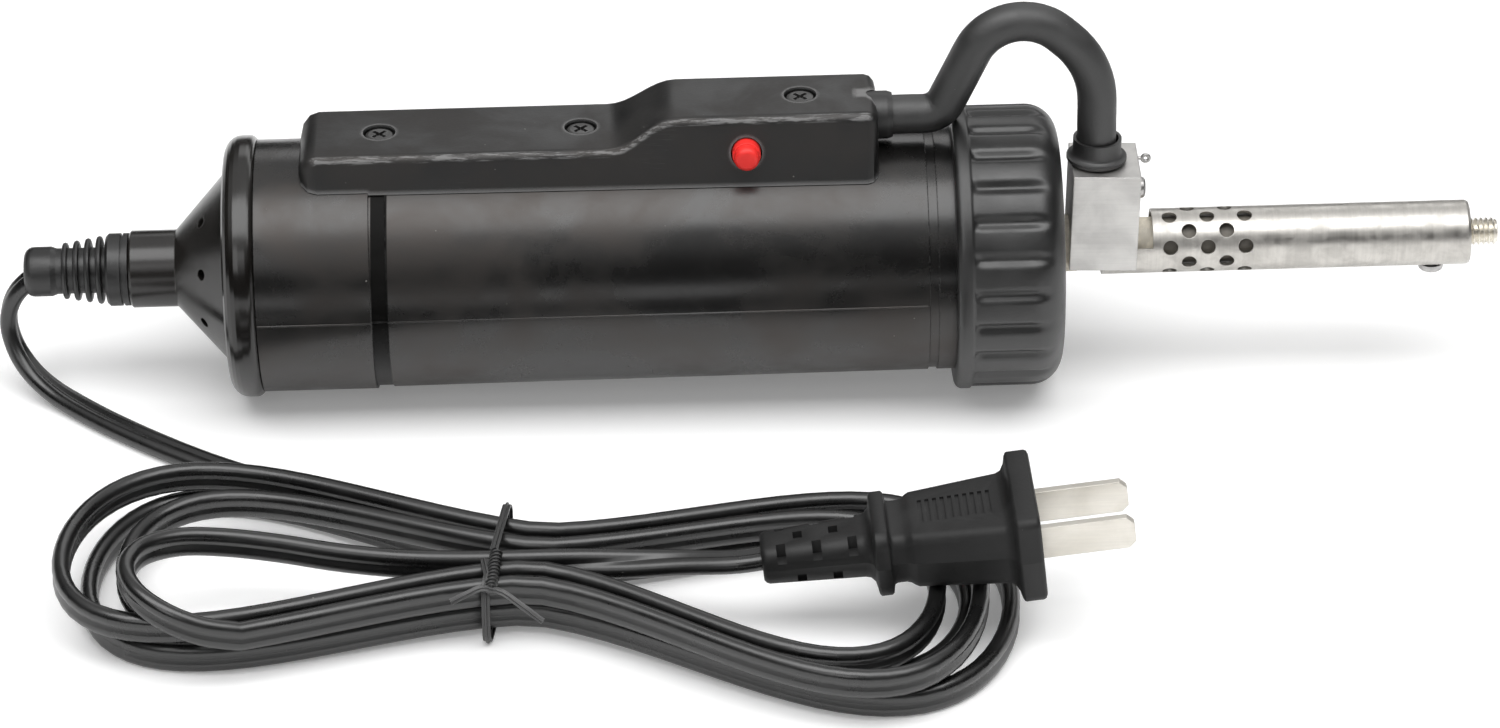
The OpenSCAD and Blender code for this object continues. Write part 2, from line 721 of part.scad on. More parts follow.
// one ring of the handle: inset is the wall, and pinch draws the ring in at a rounded end
function handle_ring(s, inset, pinch) =
  let (top = deck_at(s) - inset - pinch,
       r = max(handle_round - inset, fit_gap),
       middle = side_at(top - r) - inset - pinch - r / cos(handle_draft),
       foot = side_at(handle_root) - inset - pinch,
       corner = [for (i = [0 : 3])
         let (a = handle_draft + (90 - handle_draft) * i / 3) [middle + r * cos(a), top - r + r * sin(a)]])
  concat([[handle_x + s, foot, handle_root]],
         [for (q = corner) [handle_x + s, q[0], q[1]]],
         [for (i = [3 : -1 : 0]) [handle_x + s, -corner[i][0], corner[i][1]]],
         [[handle_x + s, -foot, handle_root]]);

module handle_outside() {
  ends = [for (a = [0 : 30 : 90]) [1 - cos(a), 1 - sin(a)]];
  rings = concat(
    [for (e = ends) handle_ring(handle_back_round * e[0], 0, handle_back_round * e[1])],
    [for (i = [0 : 8]) handle_ring(ramp_from + ramp_len * i / 8, 0, 0)],
    [for (i = [3 : -1 : 0]) handle_ring(handle_len - handle_front_round * ends[i][0], 0, handle_front_round * ends[i][1])]);
  polyhedron([for (r = rings) each r], skin(len(rings[0]), len(rings)));
}

module handle_inside() {
  rings = concat(
    [handle_ring(handle_wall, handle_wall, 0)],
    [for (i = [0 : 8]) handle_ring(ramp_from + ramp_len * i / 8, handle_wall, 0)],
    [handle_ring(handle_len - handle_wall, handle_wall, 0)]);
  polyhedron([for (r = rings) each r], skin(len(rings[0]), len(rings)));
}

module handle_cover() {
  boss_d = screw_head_d + overrun;
  color("#1e1e20") lie_down() difference() {
    union() {
      difference() {
        handle_outside();
        translate([0, 0, -overrun]) handle_inside();
      }
      for (place = screw_places) {
        translate([handle_x + place, 0, handle_root])
          cylinder(d = boss_d, h = deck_at(place) - handle_root - handle_wall / 2);
      }
    }
    turned([[0, rim_x], [skirt_d / 2 + fit_gap, rim_x], [skirt_d / 2 + fit_gap, band_x],
            [tube_back_d / 2 + fit_gap, band_x], [tube_front_d / 2 + fit_gap, neck_x],
            [0, neck_x]]);
    for (place = screw_places) {
      translate([handle_x + place, 0, 0]) cylinder(d = screw_d + 2 * run_gap, h = deck_high + overrun);
      translate([handle_x + place, 0, deck_at(place) - recess_depth])
        cylinder(d = screw_head_d + 2 * slide_gap, h = recess_depth + overrun);
    }
    translate([button_x, 0, button_h]) rotate([90, 0, 0])
      cylinder(d = button_d + 2 * slide_gap, h = handle_w);
    rod_at_sleeve(collar_d + 2 * fit_gap, handle_end - handle_front_round - handle_wall, handle_end + overrun);
  }
}

// a rod on the line along which the sleeve leaves the handle
module rod_at_sleeve(d, from, to) {
  translate([0, 0, sleeve_h]) rod(d, from, to);
}

// a round screw head with a cross slot, its shank pointing down from the origin
module cross_screw(head_d, head_h, shank_d, shank_len, slot_size, slot_deep) {
  difference() {
    rotate_extrude() polygon(concat(
      [[0, -shank_len], [shank_d / 2, -shank_len], [shank_d / 2, 0], [head_d / 2, 0]],
      arc([head_d / 2 - head_h / 2, head_h / 2], head_h / 2, 0, 90, 3),
      [[0, head_h]]));
    for (a = [0, 90]) {
      rotate([0, 0, a + 45]) translate([-slot_size / 2, -slot_w / 2, head_h - slot_deep])
        cube([slot_size, slot_w, slot_deep + overrun]);
    }
  }
}

module handle_screws() {
  color("#232325") lie_down() for (place = screw_places) {
    seat = deck_at(place) - recess_depth;
    translate([handle_x + place, 0, seat])
      cross_screw(screw_head_d, screw_head_h, screw_d, seat - bore_d / 2 - 2 * fit_gap,
                  slot_len, slot_depth);
  }
}

// Push button and its switch

// turns a piece to point out of the near side of the handle at the button
module at_button() {
  translate([button_x, 0, button_h]) rotate([90, 0, 0]) children();
}

module push_button() {
  flange_in = flange_out - button_flange_t;
  step = button_reach - button_tip_len * 2;
  color("#d8231f") lie_down() at_button() rotate_extrude() polygon(concat(
    [[0, switch_out - stem_in], [stem_d / 2, switch_out - stem_in], [stem_d / 2, flange_in],
     [button_flange_d / 2, flange_in], [button_flange_d / 2, flange_out], [button_d / 2, flange_out]],
    arc([button_d / 2 - fit_gap, step - fit_gap], fit_gap, 0, 90, 3),
    [[button_tip_d / 2, step]],
    arc([button_tip_d / 2 - button_tip_len, button_reach - button_tip_len], button_tip_len, 0, 90),
    [[0, button_reach]]));
}

module switch_body() {
  base = tube_d_at(button_x) / 2 + slide_gap;
  color("#2b2b2e") lie_down() difference() {
    translate([button_x - switch_len / 2, -switch_out, base]) cube([switch_len, switch_depth, switch_h]);
    at_button() translate([0, 0, switch_out - stem_in - button_travel - fit_gap])
      cylinder(d = stem_d + 2 * run_gap, h = switch_depth);
  }
}

// a spring of round wire along Z, as one unbroken tube with 8 rings of 6 points a curl
module spring(mean_d, wire, from, to, curls) {
  rings = 8 * curls;
  path = [for (i = [0 : rings])
    [mean_d / 2 * cos(45 * i), mean_d / 2 * sin(45 * i), from + wire / 2 + (to - from - wire) * i / rings]];
  points = [for (i = [0 : rings], k = [0 : 5])
    let (out = [cos(45 * i), sin(45 * i), 0])
    path[i] + wire / 2 * (out * cos(60 * k) + [0, 0, 1] * sin(60 * k))];
  polyhedron(points, skin(6, rings + 1));
}

module button_spring() {
  color("#c8c8cc") lie_down() at_button()
    spring(stem_d + 2 * button_wire + 2 * slide_gap, button_wire,
           switch_out + run_gap, flange_out - button_flange_t - run_gap, button_curls);
}

// Wire sleeve

// points [along, height, heading] of a line made of straight runs and bends in one plane
function bent_line(at, aim, parts, i = 0) =
  i == len(parts) ? [] :
  let (run = parts[i][0], r = parts[i][1], turn = parts[i][2],
       from = at + run * [cos(aim), sin(aim)],
       middle = from + r * [-sin(aim), cos(aim)],
       steps = ceil(turn / 12),
       bend = [for (j = [0 : steps]) let (a = aim + sign(r) * turn * j / max(steps, 1))
         [middle[0] + r * sin(a), middle[1] - r * cos(a), a]],
       last = bend[steps])
  concat(bend, bent_line([last[0], last[1]], last[2], parts, i + 1));

// the line of the sleeve as a rod of 24 sides, with some length more at both ends
module sleeve_line(d, more) {
  start = handle_end - handle_wall - handle_front_round - more;
  drop = sleeve_top - bracket_top - slide_gap + more;
  line = concat([[start, sleeve_h, 0]], bent_line([handle_end, sleeve_h], 0, [
    [sleeve_run, bend_up_r, bend_up_turn], [sleeve_rise, -arch_back_r, arch_back_turn],
    [arch_mid, -arch_front_r, arch_front_turn], [drop, 0, 0]]));
  polyhedron([for (q = line, k = [0 : 23])
    let (out = d / 2 * cos(15 * k))
    [q[0] - out * sin(q[2]), d / 2 * sin(15 * k), q[1] + out * cos(q[2])]], skin(24, len(line)));
}

module wire_sleeve() {
  color("#262627") lie_down() difference() {
    sleeve_line(sleeve_d, 0);
    sleeve_line(sleeve_bore, overrun);
  }
}

module sleeve_collar() {
  color("#1b1b1c") lie_down() difference() {
    union() {
      rod_at_sleeve(collar_d, handle_end - handle_wall, handle_end + collar_len - overrun);
      translate([handle_end + collar_len - overrun, 0, sleeve_h]) rotate([0, 90, 0])
        cylinder(d1 = collar_d, d2 = sleeve_d + overrun, h = overrun);
    }
    rod_at_sleeve(sleeve_d + 2 * fit_gap, handle_x, handle_end + 2 * collar_len);
  }
}

module sleeve_foot() {
  inner = sleeve_d / 2 + slide_gap;
  flare = foot_d / 2 - inner - foot_wall;
  color("#242425") lie_down() lean() translate([foot_x, 0, bracket_top + run_gap])
    rotate_extrude() polygon(concat(
      [[inner, 0], [foot_d / 2 - foot_rim / 2, 0], [foot_d / 2, foot_rim / 2], [foot_d / 2, foot_rim]],
      arc([foot_d / 2, foot_rim + flare], flare, -90, -180, 5),
      [[inner + foot_wall, foot_len], [inner, foot_len]]));
}

// Front cap

module front_cap() {
  rib_r = cap_d / 2 - rib_drop;
  face_x = cap_end - face_wall;
  thread_d = neck_d + 2 * slide_gap;
  color("#1d1d1f") lie_down() difference() {
    intersection() {
      union() {
        rod(2 * rib_r - rib_d / 8, cap_x, cap_end);
        rod(cap_d, cap_x, cap_x + lip_w);
        for (i = [0 : rib_count - 1]) {
          rotate([i * 360 / rib_count, 0, 0]) translate([0, 0, rib_r - rib_d / 2])
            rod(rib_d, cap_x + lip_w / 2, cap_end);
        }
      }
      turned(concat(
        [[0, cap_x]], arc([cap_d / 2 - lip_round, cap_x + lip_round], lip_round, -90, 0),
        arc([cap_d / 2 - shoulder_r, cap_end - shoulder_r], shoulder_r, 0, 90),
        [[0, cap_end]]));
    }
    rod(tube_front_d + 2 * slide_gap, cap_x - overrun, neck_x + slide_gap);
    rod(thread_d, cap_x, face_x);
    rod(face_hole_d, cap_x, cap_end + overrun);
  }
}

// Bracket at the root of the heater

// tips the hand-bent bracket forward about the middle of the tool
module lean() {
  translate([bracket_mid, 0, 0]) rotate([0, bracket_lean, 0]) children();
}

module head_bracket() {
  inner_w = bracket_w - 2 * sheet;
  color("#b9babc") lie_down() difference() {
    lean() difference() {
      translate([-bracket_len / 2, -bracket_w / 2, -bracket_drop])
        cube([bracket_len, bracket_w, bracket_top + bracket_drop]);
      translate([sheet - bracket_len / 2, -inner_w / 2, -bracket_drop - overrun])
        cube([bracket_len - 2 * sheet, inner_w, bracket_top + bracket_drop + overrun - sheet]);
      translate([foot_x, 0, 0]) cylinder(d = sleeve_bore, h = bracket_top + overrun);
      translate([0, 0, clamp_h]) rod(clamp_d + 2 * run_gap, 0, bracket_len);
      translate([0, pin_side, pin_h]) rod(pin_d + 2 * run_gap, 0, bracket_len);
    }
    rod(washer_d + 2 * slide_gap, cap_end, bracket_mid);
    rod(ceramic_d + 2 * slide_gap, bracket_mid, shell_x);
    intersection() {
      rod(shell_d + 2 * slide_gap, bracket_mid, shell_x);
      translate([bracket_mid, -bracket_w, -bracket_w]) cube([shell_x, 2 * bracket_w, bracket_w + tongue_top + slide_gap]);
    }
  }
}

module clamp_screw() {
  color("#a9aaad") lie_down() lean() translate([bracket_len / 2 + run_gap, 0, clamp_h]) rotate([0, 90, 0])
    cross_screw(clamp_head_d, clamp_head_h, clamp_d, clamp_in, clamp_head_d / 2, clamp_head_h / 2);
}

module split_pin() {
  color("#8f8f92") lie_down() lean() translate([bracket_len / 2, pin_side, pin_h]) {
    rod(pin_d, -2 * sheet, pin_len);
    translate([pin_len, 0, 0]) rotate([90, 0, 0]) translate([pin_d, 0, 0])
      rotate_extrude() translate([pin_d, 0]) circle(d = pin_d);
  }
}

// Heater

module heater_tube() {
  inner_d = shell_d - 2 * shell_wall;
  color("#c6c6c4") lie_down() difference() {
    turned([[inner_d / 2, tongue_x], [shell_d / 2, tongue_x], [shell_d / 2, shell_end - shell_wall],
            [shell_d / 2 - shell_wall / 2, shell_end], [inner_d / 2, shell_end]]);
    translate([tongue_x - overrun, -shell_d, tongue_top]) cube([shell_x - tongue_x + overrun, 2 * shell_d, shell_d]);
    for (row = [0 : hole_rows - 1], k = [0 : row % 2 == 0 ? 2 : 1]) {
      along = shell_x + hole_from + hole_pitch * (k + (row % 2) / 2);
      rotate([hole_phase - 90 + 360 * row / hole_rows, 0, 0]) translate([along, 0, 0])
        rotate([180, 0, 0]) cylinder(d = hole_d, h = shell_d);
    }
    translate([shell_end - set_from, 0, -shell_d]) cylinder(d = set_d + 2 * run_gap, h = shell_d);
  }
}

module ceramic_tube() {
  color("#e9e4d4") lie_down() pipe(ceramic_d, pipe_d + 2 * fit_gap, tongue_x, holder_x - fit_gap);
}

module ceramic_washer() {
  color("#d9cdb4") lie_down()
    pipe(washer_d, pipe_d + 2 * fit_gap, cap_end - overrun, bracket_x + sheet + overrun);
}

module nozzle_stud() {
  holder_d = shell_d - 2 * shell_wall - 2 * run_gap;
  color("#c9c4b4") lie_down() difference() {
    turned([[0, holder_x], [holder_d / 2, holder_x], [holder_d / 2, shell_end], [stud_d / 2, shell_end],
            [stud_d / 2, tool_len - stud_bevel], [stud_d / 2 - stud_bevel, tool_len], [0, tool_len]]);
    rod(suction_d, holder_x - overrun, tool_len + overrun);
    translate([shell_end - set_from, 0, -shell_d]) cylinder(d = set_d + 2 * run_gap, h = shell_d - suction_d);
  }
}

module set_screw() {
  color("#b4b4b2") lie_down() translate([shell_end - set_from, 0, -shell_d / 2 - run_gap]) rotate([180, 0, 0])
    cross_screw(set_head_d, set_head_h, set_d, shell_d / 2 - suction_d - overrun / 2, set_head_d / 2, set_head_h / 2);
}

module suction_pipe() {
  color("#9d9da0") lie_down() difference() {
    union() {
      rod(flange_d, flange_x, flange_x + flange_t);
      rod(pipe_d, flange_x, holder_x);
    }
    rod(suction_d, flange_x - overrun, holder_x + overrun);
  }
}

// Pump inside the barrel

module gasket() {
  color("#3a3431") lie_down() pipe(flange_d, flange_d - 2 * gasket_w, neck_end, flange_x);
}

module filter_pad() {
  color("#d6cfb8") lie_down() pipe(filter_d, pipe_d, flange_x - filter_t, flange_x);
}

module pump_cylinder() {
  color("#8a8b8e") lie_down() difference() {
    rod(pump_d, pump_x, neck_end);
    rod(pump_bore, pump_x - overrun, neck_end - stop_from - stop_t);
    rod(pump_bore - 2 * stop_w, pump_x, neck_end + overrun);
    rod(pump_bore, neck_end - stop_from, neck_end + overrun);
  }
}

module piston() {
  skirt = (piston_t - seal_t) / 2;
  d = pump_bore - 2 * slide_gap;
  color("#5e5f63") lie_down() difference() {
    rod(d, piston_x, piston_x + piston_t);
    pipe(d + overrun, d - 2 * seal_groove, piston_x + skirt, piston_x + skirt + seal_t);
    rod(rod_d, piston_x - overrun, piston_x + piston_t / 2);
  }
}

module piston_seal() {
  skirt = (piston_t - seal_t) / 2 + run_gap;
  outer = pump_bore / 2 - run_gap;
  inner = pump_bore / 2 - slide_gap - seal_groove + run_gap;
  color("#7b3b2a") lie_down() turned([
    [inner, piston_x + skirt], [outer - fit_gap, piston_x + skirt], [outer, piston_x + skirt + fit_gap],
    [outer, piston_x + piston_t - skirt - fit_gap], [outer - fit_gap, piston_x + piston_t - skirt],
    [inner, piston_x + piston_t - skirt]]);
}

module plunger() {
  color("#77787c") lie_down() union() {
    rod(plunger_d, plunger_x, plunger_x + plunger_len);
    rod(rod_d, plunger_x + plunger_len, piston_x + piston_t / 2);
  }
}

module return_spring() {
  color("#b8b9bc") lie_down() rotate([0, 90, 0])
    spring(spring_d, spring_wire, plate_x + plate_t + fit_gap, piston_x - run_gap, spring_curls);
}

module coil_bobbin() {
  from = can_x + plate_t;
  color("#d8d4c4") lie_down() difference() {
    union() {
      rod(bobbin_d, from, plate_x);
      rod(bobbin_d + 2 * winding_t, from, from + bobbin_wall);
      rod(bobbin_d + 2 * winding_t, plate_x - bobbin_wall, plate_x);
    }
    rod(plunger_bore, from - overrun, plate_x + overrun);
  }
}

module coil_winding() {
  color("#8c4a22") lie_down() pipe(bobbin_d + 2 * winding_t - 2 * fit_gap, bobbin_d + 2 * run_gap,
    can_x + plate_t + bobbin_wall, plate_x - bobbin_wall);
}

module solenoid_can() {
  color("#6f7175") lie_down() difference() {
    rod(pump_d, can_x, plate_x + plate_t);
    rod(pump_d - 2 * can_wall, can_x + plate_t, plate_x);
    rod(plunger_bore, can_x - overrun, plate_x + plate_t + overrun);
  }
}

module pole_piece() {
  color("#66686c") lie_down() rod(plunger_d, can_x, pole_x);
}

// Cord

function unit(v) = v / norm(v);

// a smooth curve through hand-picked points, with some steps between each two
function smooth(p, steps) = concat(
  [for (i = [0 : len(p) - 2], j = [0 : steps - 1])
    let (a = p[max(i - 1, 0)], b = p[i], c = p[i + 1], d = p[min(i + 2, len(p) - 1)], s = j / steps)
    (2 * b + s * (c - a) + s * s * (2 * a - 5 * b + 4 * c - d) + s * s * s * (3 * b - a - 3 * c + d)) / 2],
  [p[len(p) - 1]]);

// outline of the flat cord with n points, its broad way first
function cord_outline(n) = [for (i = [0 : n - 1])
  let (a = (i + 1 / 2) * 360 / n, full = n % 4 == 0 ? cos(180 / n) : 1)
  [cord_w / 2 * cos(a) / cos(180 / n), cord_t / 2 * sin(a) / full]];

// a tube along points [x, y, z, turn, lean]: a turn of 0 lays the broad way across, and
// lean tips what counts as up towards -X, for cord that hangs straight down
module cord_tube(p, n, first, last) {
  place = [for (q = p) spot(q)];
  outline = cord_outline(n);
  points = [for (i = [0 : len(p) - 1])
    let (ahead = i == 0 ? first : i == len(p) - 1 ? last : unit(place[i + 1] - place[i - 1]),
         side = unit(cross([-sin(p[i][4]), 0, cos(p[i][4])], ahead)),
         up = cross(ahead, side),
         broad = side * cos(p[i][3]) + up * sin(p[i][3]),
         thin = up * cos(p[i][3]) - side * sin(p[i][3]))
    each [for (q = outline) place[i] + broad * q[0] + thin * q[1]]];
  polyhedron(points, skin(n, len(p)));
}

// the hank is a flattened spiral: in along the lower layer, up at the inner loop, and out again
inward = (hank_turns - 1 / 2) / 2;
function climbed(t) = min(1, max(0, 2 * (t - inward)));
function loops_in(t) =
  (t < inward ? t : t < inward + 1 / 2 ? inward : hank_turns - t) + loop_bulge * sin(180 * climbed(t));

// a point of the hank after t turns
function hank_at(t) =
  let (a = hank_from - 360 * t,
       s = loops_in(t),
       layer = (1 - cos(180 * climbed(t))) / 2,
       end = abs(cos(a)),
       wide = pow(end, 3 / 2),
       along = (hank_len / 2 - step_end * s) * cos(a) - layer_back * layer * end,
       across = sin(a) * (hank_waist - step_waist * s + (hank_spread - step_spread * s) * wide)
         - layer_side * layer * wide)
  [hank_middle[0] + along * cos(hank_turn) - across * sin(hank_turn),
   hank_middle[1] + along * sin(hank_turn) + across * cos(hank_turn),
   cord_w / 2 + layer_rise * layer + tie_lift * pow(abs(sin(a)), 8), 90, 0];

hank_path = [for (i = [0 : floor(hank_turns * hank_rings)]) hank_at(i / hank_rings)];
function spot(q) = [q[0], q[1], q[2]];
hank_first = unit(spot(hank_path[1] - hank_path[0]));
hank_end = hank_path[len(hank_path) - 1];
hank_last = unit(spot(hank_end - hank_path[len(hank_path) - 2]));

module cord_lead() {
  meet = [hank_path[0][0], hank_path[0][1], hank_path[0][2], 90, 180];
  p = smooth(concat(lead_route, [meet]), 3);
  color("#19191a") cord_tube(p, 8, unit(spot(p[1] - p[0])), hank_first);
}

module cord_hank() {
  color("#19191a") cord_tube(hank_path, 6, hank_first, hank_last);
}

plug_start = [plug_place[0], plug_place[1], plug_h];
plug_dir = [cos(plug_tilt) * cos(plug_yaw), cos(plug_tilt) * sin(plug_yaw), sin(plug_tilt)];

module cord_tail() {
  before = plug_start - plug_dir * cord_w;
  p = smooth(concat([hank_end], tail_route,
                    [[each before, 0, 0], [each plug_start, 0, 0]]), 3);
  color("#19191a") cord_tube(p, 8, hank_last, plug_dir);
}

// least gap between two stretches of the hank, measured between the two cores of the cord
core = (cord_w - cord_t) / 2;
fine = [for (i = [0 : len(hank_path) - 2], j = [0 : 3]) spot(hank_path[i] + (hank_path[i + 1] - hank_path[i]) * j / 4)];
gaps = [for (i = [0 : len(fine) - 1]) for (k = [i + 24 : 1 : len(fine) - 1])
  let (d = fine[k] - fine[i], flat = norm([d[0], d[1]]), high = max(0, abs(d[2]) - 2 * core))
  if (flat < 2 * cord_w) norm([flat, high]) - cord_t];
echo(least_gap_in_hank = min(gaps));
lengths = [for (i = [0 : len(hank_path) - 2]) norm(spot(hank_path[i + 1] - hank_path[i]))];
function total(v, i = 0) = i < len(v) ? v[i] + total(v, i + 1) : 0;
echo(length_of_hank = total(lengths), hank_start = hank_path[0], hank_end = hank_path[len(hank_path) - 1]);

// Twist tie round the waist of the hank

// half the width inside the tie: the outer strands slope, so they are widest past its far edge
tie_far = abs(tie_along) + tie_w / 2 + cord_t;
tie_side = hank_waist + (hank_spread + layer_side) * pow(2 * tie_far / hank_len, 3 / 2)
    + cord_t / 2 + slide_gap;

// a thin round leg of the tie from one point to another
module leg(from, to, d) {
  way = to - from;
  translate(from) rotate([0, acos(way[2] / norm(way)), atan2(way[1], way[0])])
    cylinder(d = d, h = norm(way), $fn = 12);
}

// a flat-sided block across the hank with rounded edges, the outline of the tie or its hole
module tie_block(r, width) {
  middle = tie_side - tie_t;
  hull() for (y = [-middle, middle], z = [2 * tie_t, tie_h - 2 * tie_t]) {
    translate([0, y, z]) rotate([0, 90, 0]) cylinder(r = r, h = width, center = true, $fn = 32);
  }
}

module cord_tie() {
  knot = [0, -tie_side - tie_t, tie_h * knot_share];
  twist_end = knot + [0, -2 * tie_t, -tie_twist];
  color("#151516") translate([hank_middle[0], hank_middle[1], 0]) rotate([0, 0, hank_turn])
    translate([tie_along, 0, 0]) {
      difference() {
        tie_block(2 * tie_t, tie_w);
        tie_block(tie_t, tie_w + overrun);
      }
      leg(knot, twist_end, 2 * tie_t);
      leg(twist_end, twist_end + [-tie_leg, -tie_leg, -tie_drop], tie_t);
      leg(twist_end, twist_end + [tie_leg, -tie_leg, -tie_drop], tie_t);
    }
}

// Plug

// sets a piece along the plug, from the cord end of its grip
module at_plug() {
  translate(plug_start) rotate([0, 0, plug_yaw]) rotate([0, -plug_tilt, 0]) children();
}

// a ring of the plug at a place along it: size is [width, height], with eased corners
function plug_ring(x, size) =
  let (w = size[0] / 2, h = size[1] / 2, e = h * ease_share)
  [[x, w, h - e], [x, w - e, h], [x, -w + e, h], [x, -w, h - e],
   [x, -w, -h + e], [x, -w + e, -h], [x, w - e, -h], [x, w, -h + e]];

body_x = grip_len + disc_t;
face_x = body_x + plug_len;
plug_end = face_x + face_t;

// the slots that let the grip flex: tall ones through its upper edges, small ones above and below
module grip_slots() {
  for (i = [0 : 2], y = [-1, 1]) {
    x = grip_len * slot_shares[i];
    w = grip_back[0] + (grip_front[0] - grip_back[0]) * slot_shares[i];
    h = grip_back[1] + (grip_front[1] - grip_back[1]) * slot_shares[i];
    translate([x, y * w / 2, h / 2 - slot_tall / 2])
      cube([slot_across, 2 * slot_deep, slot_tall + overrun], center = true);
    if (i < 2) for (z = [-1, 1]) {
      translate([x + grip_len * (slot_shares[i + 1] - slot_shares[i]) / 2, z > 0 ? y * w / 4 : y * w / 2, z * h / 2])
        cube([slot_across, 2 * slot_deep, 2 * slot_deep], center = true);
    }
  }
}

module plug_body() {
  edge = [overrun, overrun];
  stations = [
    [0, grip_back], [grip_len - overrun, grip_front], [grip_len, disc - edge], [grip_len + overrun / 2, disc],
    [body_x - overrun / 2, disc], [body_x, plug_waist + edge], [body_x + overrun, plug_waist],
    [body_x + plug_neck, plug_waist + edge], [face_x - overrun, plug_mid],
    [face_x, face - edge], [face_x + overrun / 2, face], [plug_end - overrun / 2, face], [plug_end, face - edge]];
  rings = [for (s = stations) plug_ring(s[0], s[1])];
  ribs_x = body_x + plug_neck + plug_len * rib_start_share;
  color("#1a1a1b") at_plug() difference() {
    polyhedron([for (r = rings) each r], skin(8, len(rings)));
    grip_slots();
    for (y = [-1, 1]) {
      translate([plug_end - blade_w, y * blade_pitch / 2 - blade_t / 2 - run_gap, -blade_w / 2 - run_gap])
        cube([blade_w + overrun, blade_t + 2 * run_gap, blade_w + 2 * run_gap]);
    }
    for (i = [0 : finger_ribs - 1]) {
      translate([ribs_x + i * finger_pitch, -plug_waist[0] / 4, plug_waist[1] / 2])
        cube([finger_pitch / 2, plug_waist[0] / 2, plug_mid[1]]);
    }
  }
}

module plug_blades() {
  corner = blade_w / 5;
  color("#cfcabb") at_plug() for (y = [-1, 1]) {
    translate([0, y * blade_pitch / 2 + blade_t / 2, 0]) rotate([90, 0, 0]) linear_extrude(blade_t)
      polygon([[plug_end - blade_w, -blade_w / 2], [plug_end + blade_len - corner, -blade_w / 2],
               [plug_end + blade_len, -blade_w / 2 + corner], [plug_end + blade_len, blade_w / 2 - corner],
               [plug_end + blade_len - corner, blade_w / 2], [plug_end - blade_w, blade_w / 2]]);
  }
}

barrel();
rear_cap();
strain_relief();
handle_cover();
handle_screws();
push_button();
button_spring();
switch_body();
sleeve_collar();
wire_sleeve();
sleeve_foot();
front_cap();
head_bracket();
clamp_screw();
split_pin();
heater_tube();
ceramic_tube();
ceramic_washer();
nozzle_stud();
set_screw();
suction_pipe();
gasket();
filter_pad();
pump_cylinder();
piston();
piston_seal();
plunger();
return_spring();
coil_bobbin();
coil_winding();
solenoid_can();
pole_piece();
cord_lead();
cord_hank();
cord_tail();
cord_tie();
plug_body();
plug_blades();
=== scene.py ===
import math
import bpy
import bmesh
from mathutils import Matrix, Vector


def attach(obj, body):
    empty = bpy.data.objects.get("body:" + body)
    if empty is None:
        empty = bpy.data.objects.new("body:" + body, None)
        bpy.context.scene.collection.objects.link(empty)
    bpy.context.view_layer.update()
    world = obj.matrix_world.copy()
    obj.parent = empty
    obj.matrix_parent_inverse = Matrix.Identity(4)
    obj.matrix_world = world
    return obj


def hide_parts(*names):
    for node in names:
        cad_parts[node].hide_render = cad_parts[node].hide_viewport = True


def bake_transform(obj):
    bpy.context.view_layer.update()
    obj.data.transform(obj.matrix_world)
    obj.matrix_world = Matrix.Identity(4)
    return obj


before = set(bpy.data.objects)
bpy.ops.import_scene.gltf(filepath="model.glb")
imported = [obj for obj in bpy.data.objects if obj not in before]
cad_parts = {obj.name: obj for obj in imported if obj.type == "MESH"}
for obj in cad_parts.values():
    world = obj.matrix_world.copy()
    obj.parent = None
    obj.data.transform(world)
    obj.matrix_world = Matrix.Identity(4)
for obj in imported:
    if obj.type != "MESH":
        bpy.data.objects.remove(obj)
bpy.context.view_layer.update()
mm = 0.001


# Small tools for nodes

def addNode(tree, kind, inputs=None, **settings):
    node = tree.nodes.new(kind)
    for key, value in settings.items():
        setattr(node, key, value)
    for key, value in (inputs or {}).items():
        if isinstance(value, bpy.types.NodeSocket):
            tree.links.new(value, node.inputs[key])
        else:
            node.inputs[key].default_value = value
    return node


def calc(tree, operation, a, b=0.0, c=0.0):
    node = addNode(tree, "ShaderNodeMath", {0: a, 1: b, 2: c}, operation=operation)
    return node.outputs[0]


def span(tree, value, low, high, outLow=0.0, outHigh=1.0):  # eased map from one range to another
    node = addNode(tree, "ShaderNodeMapRange", {0: value, 1: low, 2: high, 3: outLow, 4: outHigh})
    node.interpolation_type = "SMOOTHSTEP"
    return node.outputs[0]


def blendColor(tree, mask, a, b):
    node = addNode(tree, "ShaderNodeMix", {0: mask, 6: a, 7: b}, data_type="RGBA")
    return node.outputs[2]


def newGroup(name, inputs, outputs):
    tree = bpy.data.node_groups.new(name, "ShaderNodeTree")
    for label, value in inputs.items():
        kind = "NodeSocketVector" if isinstance(value, tuple) else "NodeSocketFloat"
        socket = tree.interface.new_socket(name=label, in_out="INPUT", socket_type=kind)
        socket.default_value = value
    for label in outputs:
        tree.interface.new_socket(name=label, in_out="OUTPUT", socket_type="NodeSocketFloat")
    start = addNode(tree, "NodeGroupInput").outputs
    end = addNode(tree, "NodeGroupOutput").inputs
    return tree, start, end


def place(tree, group, **inputs):  # puts a group into a material, input names with underscores
    node = addNode(tree, "ShaderNodeGroup", node_tree=group)
    for key, value in inputs.items():
        socket = node.inputs[key.replace("_", " ")]
        if isinstance(value, bpy.types.NodeSocket):
            tree.links.new(value, socket)
        else:
            socket.default_value = value
    return node.outputs


# Node groups shared by the materials

